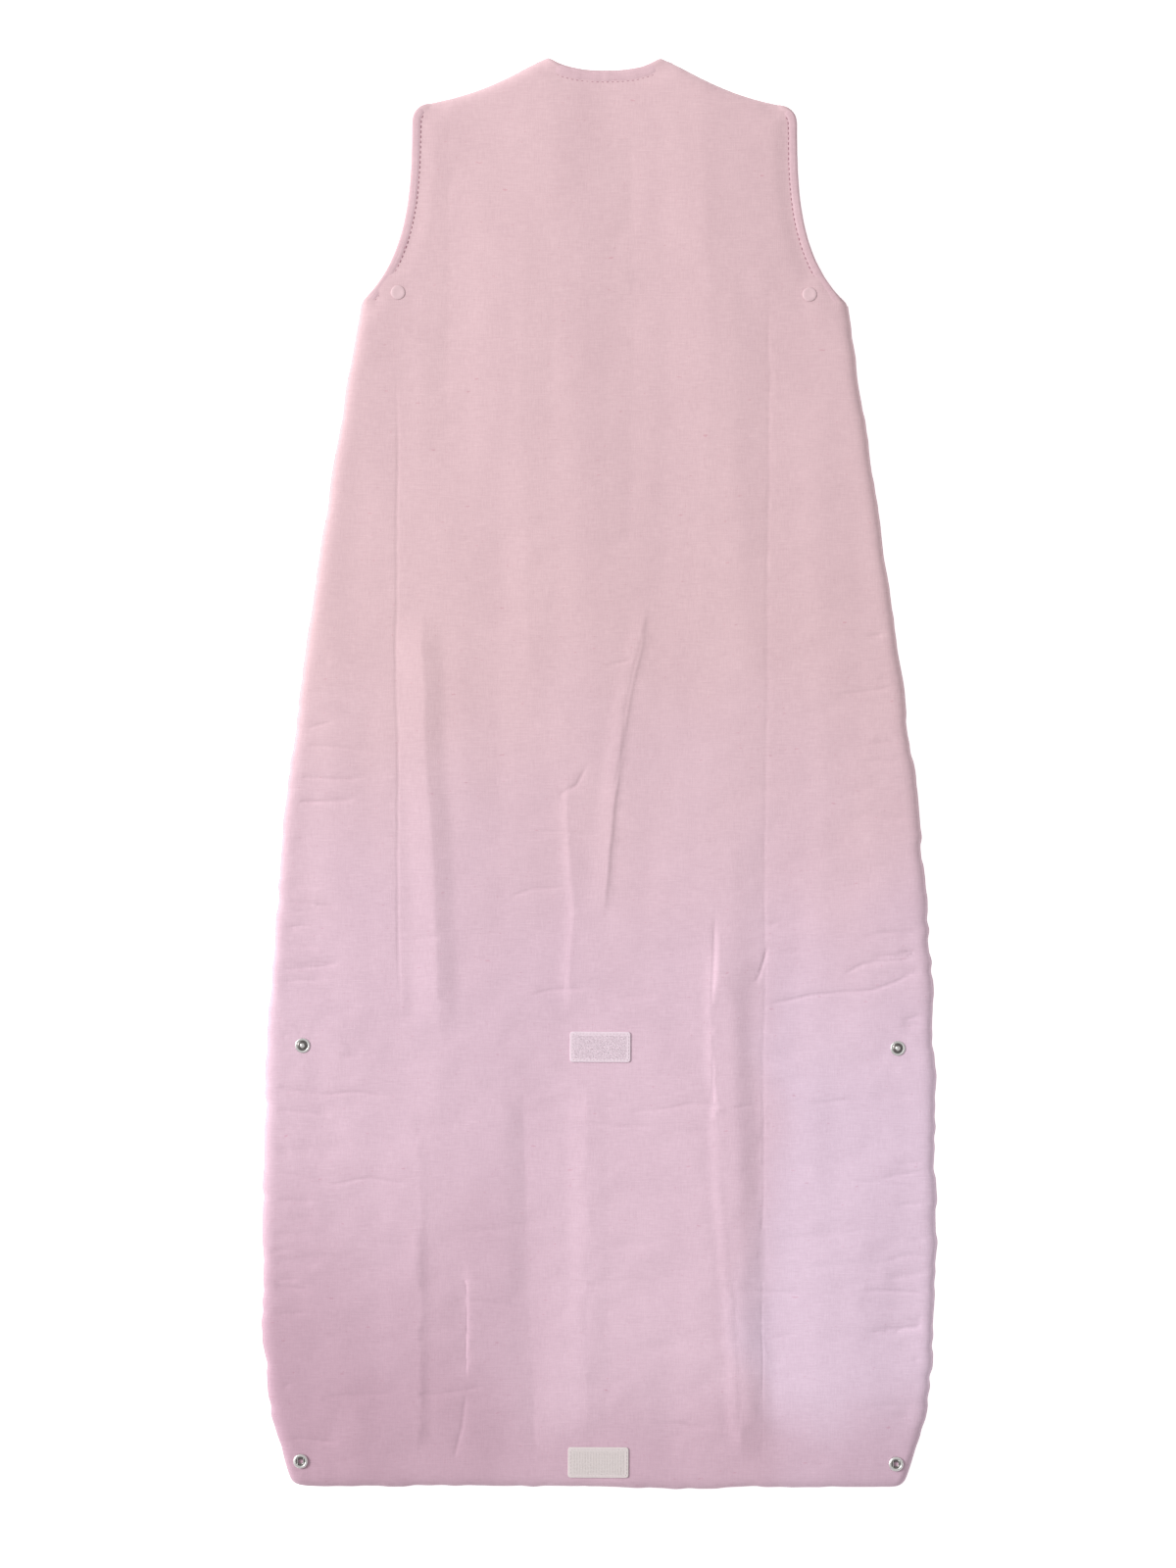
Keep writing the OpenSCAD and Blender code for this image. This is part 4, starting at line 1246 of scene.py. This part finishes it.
def make_zip():
    """Tapes, coils, underlay, garage and stops. The sliders are made on their own."""
    y = rows_down(HEM + 3.5, FRONT_NECK - NECK_BIND, 4)
    for side, sign in (("right", 1), ("left", -1)):
        path = np.column_stack([y * 0 + sign * TAPE_X, y, TAPE_Z + 0.07 * sway(y / 13, 0, 80 + sign)])
        section = rounded_section(7.8, 0.25, 24, 0.4)
        tape, _ = sweep(f"zip_tape_{side}_web", path, all_along(path, ACROSS), section)
        fold(tape, TAPE, f"zip_tape_{side}", f"foot_zip_tape_{side}")
        coil(side, sign)
    y = y[(y < UNDERLAY_ENDS[1]) & (y > UNDERLAY_ENDS[0])]
    path = np.column_stack([y * 0, y, UNDERLAY_Z + 0.08 * sway(y / 21, 3, 83)])
    section = rounded_section(UNDERLAY_W / 2, 0.33, 32, 0.35)
    flap, _ = sweep("zip_underlay_flap", path, all_along(path, ACROSS), section)
    fold(flap, LINING, "zip_underlay", "foot_zip_underlay")
    garage()
    for name, low, node, body in (("zip_top_stop_clips", 484.0, "zip_top_stops", "bag"),
                                  ("zip_bottom_stop_clips", -548.0, "foot_zip_bottom_stops", "foot")):
        shape = np.array([(0.55, low), (3.5, low), (3.5, low + 3), (0.55, low + 3)])
        clips = [cast("clip", shape * [sign, 1], 2.75, 4.8, edge=0.4) for sign in (1, -1)]
        ride(join(name, clips), ZIP_METAL, body, node)


def garage():
    """The cloth tab that wraps over the top of the zip, from its face to behind the underlay."""
    run = [(485.4, 0.35), (499.2, 0.35), (500.35, 0.7), (500.55, 1.6), (500.55, 5.9), (500.3, 6.75)]
    run = resample(np.array(run + [(499.2, UNDERLAY_Z), (469.3, UNDERLAY_Z)]), 0.8)
    s = lengths(run)
    half = 6.3 + 6.4 * smooth((s - 19) / 9)
    unit = rounded_section(1, 0.3, 24, 0.4)
    section = np.stack([np.column_stack([unit[:, 0] * h, unit[:, 1]]) for h in half])
    path = np.column_stack([s * 0, run])
    tab, _ = sweep("zip_garage_tab", path, all_along(path, ACROSS), section)
    ride(tab, LINING, "bag", "zip_garage")


def coil(side, sign):
    """One side's nylon coil, half a turn apart from the other side's so that the two mesh."""
    pitch, turn = 137 / 91, 10  # a whole number of turns in the lower slider's travel
    low, high = HEM + 5.3, 483.6
    t = np.arange(int((high - low) / pitch * turn)) / turn
    phase = 2 * math.pi * t + (0 if sign > 0 else math.pi)
    c, s = np.cos(phase), np.sin(phase)
    path = np.column_stack([sign * (COIL_X + COIL_R * c), high - pitch * t, COIL_Z - COIL_RISE * s])
    outward = np.column_stack([sign * c, t * 0, -s])
    obj, _ = sweep(f"zip_coil_{side}", path, outward, rounded_section(0.27, 0.27, 5, 1.0))
    fold(obj, COIL, f"zip_teeth_{side}", f"foot_zip_teeth_{side}")


def make_zip_stitches():
    """The row of stitches that holds each front's folded edge to its zip tape."""
    y = rows_down(HEM + 8, FRONT_NECK - NECK_BIND - 4, 2)
    rows = []
    for sign, seed in ((1, 50), (-1, 55)):
        xy = np.column_stack([y * 0 + ZIP_EDGE + 2.6, y])
        _, _, _, seam = right_edges(FRONT_NECK, ZIP_EDGE)
        ds = distance(xy, seam)
        high, _ = front_surface(xy, ds, y * 0 + 50, seed)
        path = np.column_stack([sign * xy[:, 0], y, MID - high - 0.02])
        rows.append((path, all_along(path, (-0.45 * sign, 0, -0.9))))
    fold(stitches("zip_edge_stitches", rows), THREAD)


# ---------------------------------------------------------------- press studs and snaps
CROWN_Z, SPRING_Z = 14.0, 21.62


def turned(name, outline, points, z, look, node, body, flip=False):
    """A turned part at each of several points, z high, and upside down if flip."""
    obj = lathe(name, outline, [(p[0], p[1], z) for p in points], flip)
    ride(obj, look, body, *node)


def make_fasteners():
    """The metal press studs and sockets, and the plastic snaps at the underarms."""
    studs, sockets, snaps = both_sides(STUD), both_sides(SOCKET), both_sides(SNAP)
    stud = [(0, 0), (5.3, 0), (5.64, 0.14), (5.7, 0.4), (5.55, 0.68), (5.1, 0.8), (4.5, 0.74), (4.05, 0.5),
            (3.3, 0.38), (2.5, 0.42), (2.0, 0.62), (1.72, 1.0), (1.58, 1.4), (1.66, 1.9), (1.75, 2.2),
            (1.62, 2.55), (1.2, 2.74), (0.6, 2.8), (0, 2.8)]
    socket = [(1.9, 0), (5.3, 0), (5.64, 0.18), (5.7, 0.6), (5.6, 1.25), (5.25, 1.8), (4.75, 2.05),
              (4.2, 2.1), (3.75, 1.95), (3.55, 1.5), (3.1, 1.2), (2.5, 1.12), (2.05, 1.05), (1.86, 0.8),
              (1.86, 0.3), (1.9, 0)]
    ring = [(2.7, -0.8), (4.85, -0.8), (5.15, -0.62), (5.2, -0.3), (4.95, -0.05), (4.3, 0), (3.4, 0),
            (3.4, 5.85), (3.25, 5.98), (2.85, 5.98), (2.7, 5.85), (2.7, -0.8)]
    cap = [(0, -5.9), (0.8, -5.9), (0.8, 0), (5.3, 0), (5.48, 0.1), (5.5, 0.24), (5.35, 0.42), (4.9, 0.56),
           (4.3, 0.64), (3.4, 0.66), (2.7, 0.62), (1.6, 0.58), (0, 0.57)]
    inner = [(0.95, 0), (4.8, 0), (5, 0.2), (5, 0.55), (4.7, 0.75), (3.6, 0.85), (3.3, 1.2), (3.2, 1.68),
             (2.95, 1.8), (2.2, 1.8), (1.9, 1.4), (0.95, 1.2), (0.95, 0)]
    male = [(0, 0), (4.8, 0), (5, 0.2), (4.9, 0.85), (4.5, 1.15), (2.4, 1.2), (1.85, 1.4), (1.66, 2.1),
            (1.75, 2.6), (1.5, 3.05), (0.8, 3.2), (0, 3.2)]
    floor = [(1.9, 0.6), (3.9, 0.66), (3.9, 1.1), (1.9, 1.0), (1.9, 0.6)]
    well = [(2.05, 0.52), (3.95, 0.5), (3.95, 0.6), (2.05, 0.66), (2.05, 0.52)]
    short = [(r, max(h, -4.3)) for r, h in cap]
    for row in (
        ("back_press_stud_faces", stud, studs, BACK_FACE, SNAP_METAL, ["back_press_studs"], "bag"),
        ("hem_press_socket_faces", socket, sockets, BACK_FACE, SNAP_METAL, ["hem_press_sockets"], "foot"),
        ("back_stud_prong_crowns", ring, studs, CROWN_Z, SNAP_METAL, ["back_stud_prong_rings"], "bag"),
        ("hem_socket_prong_crowns", ring, sockets, CROWN_Z, SNAP_METAL, ["hem_socket_prong_rings"], "foot"),
        ("underarm_back_cap_domes", cap, snaps, BACK_FACE, SNAP_PINK, ["underarm_back_caps"], "bag"),
        ("underarm_front_cap_domes", short, snaps, 1.6, SNAP_PINK, ["underarm_front_caps"], "bag", True),
        ("underarm_socket_rings", inner, snaps, CROWN_Z, SNAP_PINK, ["underarm_sockets"], "bag", True),
        ("underarm_stud_discs", male, snaps, 6.0, SNAP_PINK, ["underarm_studs"], "bag"),
        # Painted shade: dark nickel rings in the sockets' wells and round the foot of the studs' knobs.
        ("hem_socket_wells", floor, sockets, BACK_FACE + 0.35, SNAP_SHADE, [], "foot"),
        ("back_stud_shadow_rings", well, studs, BACK_FACE, SNAP_SHADE, [], "bag"),
    ):
        turned(*row)
    springs, wire = [], rounded_section(0.2, 0.2, 8, 1.0)
    t = np.linspace(-1, 1, 17)
    for x, y in sockets:
        for sign in (1, -1):
            aside = sign * (2.15 + 0.25 * np.abs(t) ** 3)
            path = np.column_stack([x + aside, y + 3.0 * t, t * 0 + SPRING_Z])
            springs.append(sweep("spring", path, all_along(path, ACROSS), wire)[0])
    ride(join("hem_socket_springs", springs), SNAP_METAL, "foot")


# ---------------------------------------------------------------- patches and labels
PATCH_FACE = BACK_FACE + 0.95
TUFT_FOOT, TUFT_TOP = PATCH_FACE - 0.03, 0.5


def rounded_box(centre, half_l, half_w, r, n=7):
    """The outline of a box with corners of radius r."""
    out = []
    for k, (sx, sy) in enumerate(((1, 1), (-1, 1), (-1, -1), (1, -1))):
        x, y = centre[0] + sx * (half_l - r), centre[1] + sy * (half_w - r)
        for a in np.linspace(0, math.pi / 2, n) + k * math.pi / 2:
            out.append((x + r * math.cos(a), y + r * math.sin(a)))
    return out


def tufts(name, centre, hooked, rng):
    """The small upright loops or hooks of a fastening tape, in rows."""
    verts, faces = [], []
    pitch = 1.05 if hooked else 0.95
    xs = np.arange(-PATCH_L / 2 + 3.1, PATCH_L / 2 - 3, pitch)
    ys = np.arange(-PATCH_W / 2 + 3.1, PATCH_W / 2 - 3, pitch)
    t = np.linspace(0, 1, 6)
    if hooked:
        bow, rise = 0.42 * np.sin(2.6 * t) ** 2, 0.55 * np.sin(2.35 * t)
    else:
        bow, rise = 0.9 * (t - 0.5), 0.46 * np.sin(math.pi * t) ** 0.6
    for i, px in enumerate(xs):
        for py in ys:
            if hooked:
                a = (0.0 if i % 2 else math.pi) + rng.uniform(-0.6, 0.6)
            else:
                a = rng.uniform(0, 2 * math.pi)
            size = rng.uniform(0.85, 1.12)
            stray = 0.12 if hooked else 0.4
            foot = np.array(centre) + [px, py] + rng.uniform(-stray, stray, 2)
            lean = np.array([math.cos(a), math.sin(a)])
            base = len(verts)
            for b, h in zip(bow, rise):
                for w in (0, 2 * math.pi / 3, 4 * math.pi / 3):
                    x, y = foot + size * b * lean + 0.1 * math.cos(w) * np.array([-lean[1], lean[0]])
                    verts.append((x, y, TUFT_FOOT + min(size * h, TUFT_TOP) + 0.09 * math.sin(w)))
            for k in range(5):
                for q in range(3):
                    p, r = base + 3 * k, base + 3 * k + 3
                    faces.append([p + q, p + (q + 1) % 3, r + (q + 1) % 3, r + q])
            faces += [[base + 2, base + 1, base], [base + 15, base + 16, base + 17]]
    return mesh_object(name, verts, faces)


def make_patches():
    """The hook patch and the loop patch, each with its row of stitches."""
    rng = np.random.default_rng(9)
    for kind, centre, body in (("loop", PATCHES[0], "bag"), ("hook", PATCHES[1], "foot")):
        outline = rounded_box(centre, PATCH_L / 2, PATCH_W / 2, 2)
        base = cast("base", outline, BACK_FACE, PATCH_FACE, edge=0.42, step=1.2)
        obj = join(f"{kind}_patch_tape", [base, tufts("tufts", centre, kind == "hook", rng)])
        ride(obj, (PILES[kind], f"{kind}_tape"), body, f"{kind}_patch")
        loop = np.array(rounded_box(centre, PATCH_L / 2 - 1.7, PATCH_W / 2 - 1.7, 0.8, 4))
        loop = resample(np.vstack([loop, loop[:1]]), 0.8)
        path = np.column_stack([loop, np.full(len(loop), PATCH_FACE - 0.02)])
        rows = [(path, all_along(path, (0, 0, 1)))]
        thread = stitches(f"{kind}_patch_stitches", rows, pitch=2.6, length=2.0, radius=0.17)
        ride(thread, (PALE_THREAD, f"{kind}_tape"), body)


def label(name, low, high, z, node, seed):
    """A woven label, a little wavy, that is sewn in at one edge."""
    nx, ny = int((high[0] - low[0]) / 1.2) + 2, int((high[1] - low[1]) / 1.2) + 2
    x, y = np.meshgrid(np.linspace(low[0], high[0], nx), np.linspace(low[1], high[1], ny))
    xy = np.column_stack([x.ravel(), y.ravel()])
    wave = 0.22 * noise(xy[:, 0] / 9, xy[:, 1] / 8, seed)
    grid = np.arange(nx * ny).reshape(ny, nx)
    a, b, c, d = grid[:-1, :-1], grid[:-1, 1:], grid[1:, 1:], grid[1:, :-1]
    faces = np.concatenate([np.stack([a, b, c], -1).reshape(-1, 3), np.stack([a, c, d], -1).reshape(-1, 3)])
    top = np.column_stack([xy, z + wave + 0.13])
    obj = ride(shell(name, top, top - [0, 0, 0.26], faces, xy), LABEL, "bag", node)


# ---------------------------------------------------------------- camera and light
def make_camera():
    """A camera straight above the bag, as in the photo."""
    height, field = 3.1, 1.2038
    tilt = math.radians(0.27)
    camera = bpy.data.cameras.new("photo_camera")
    camera.sensor_width = 36
    camera.lens = 36 * (height - 0.02) / field
    camera.clip_end = 50
    obj = bpy.data.objects.new("photo_camera", camera)
    obj.matrix_world = Matrix.Translation((-0.0103, -0.0087, height)) @ Matrix.Rotation(tilt, 4, "Z")
    bpy.context.scene.collection.objects.link(obj)
    bpy.context.scene.camera = obj


def lamp(name, place, target, size, power):
    """A round soft light that shines from a place to a target."""
    light = bpy.data.lights.new(name, "AREA")
    light.shape = "DISK"
    light.size = size
    light.energy = power
    obj = bpy.data.objects.new(name, light)
    obj.location = place
    obj.rotation_euler = (Vector(target) - Vector(place)).to_track_quat("-Z", "Y").to_euler()
    bpy.context.scene.collection.objects.link(obj)


def make_studio():
    """A pale floor, an even sky and one soft light from the upper left."""
    n = Nodes("pale_floor", 0.9)
    drift = n.noise((3, 3, 3), 2, 0.5, own=True)
    n.finish(n.mix(drift, (0.80, 0.80, 0.80, 1), (0.82, 0.82, 0.82, 1)))
    n.shader.inputs["Emission Color"].default_value = (1, 1, 1, 1)
    n.shader.inputs["Emission Strength"].default_value = 0.62
    mesh = bpy.data.meshes.new("studio_floor")
    r, z = 7.0, -0.0001
    mesh.from_pydata([(-r, -r, z), (r, -r, z), (r, r, z), (-r, r, z)], [], [(0, 1, 2, 3)])
    floor = bpy.data.objects.new("studio_floor", mesh)
    mesh.materials.append(n.material)
    bpy.context.scene.collection.objects.link(floor)
    world = bpy.data.worlds.new("studio_air")
    world.use_nodes = True
    world.node_tree.nodes["Background"].inputs[0].default_value = (1, 1, 1, 1)
    world.node_tree.nodes["Background"].inputs[1].default_value = 0.60
    bpy.context.scene.world = world
    bpy.context.scene.view_settings.view_transform = "Standard"
    lamp("key_softbox", (-7.6, 2.5, 5.6), (0, 0, 0), 3.4, 985)


make_camera()
make_back()
make_front("right", 1, 50)
make_front("left", -1, 55)
make_seams()
make_bindings()
make_zip()
make_zip_stitches()
slider("top_slider_casting", TOP_SLIDER, 1, "top_slider", "top_slider")
pull_tab("top_pull_tab_plate", TOP_SLIDER, 1, "top_pull_tab", "top_pull")
slider("bottom_slider_casting", BOTTOM_SLIDER, -1, "bottom_slider", "bottom_slider")
pull_tab("bottom_pull_tab_plate", BOTTOM_SLIDER, -1, "bottom_pull_tab", "bottom_pull")
make_fasteners()
make_patches()
label("neck_label_ribbon", (-17, 508), (17, 526), 13.6, "neck_label", 91)
label("care_label_ribbon", (-234.8, -60), (-217, -20), 10.0, "care_label", 92)
make_studio()
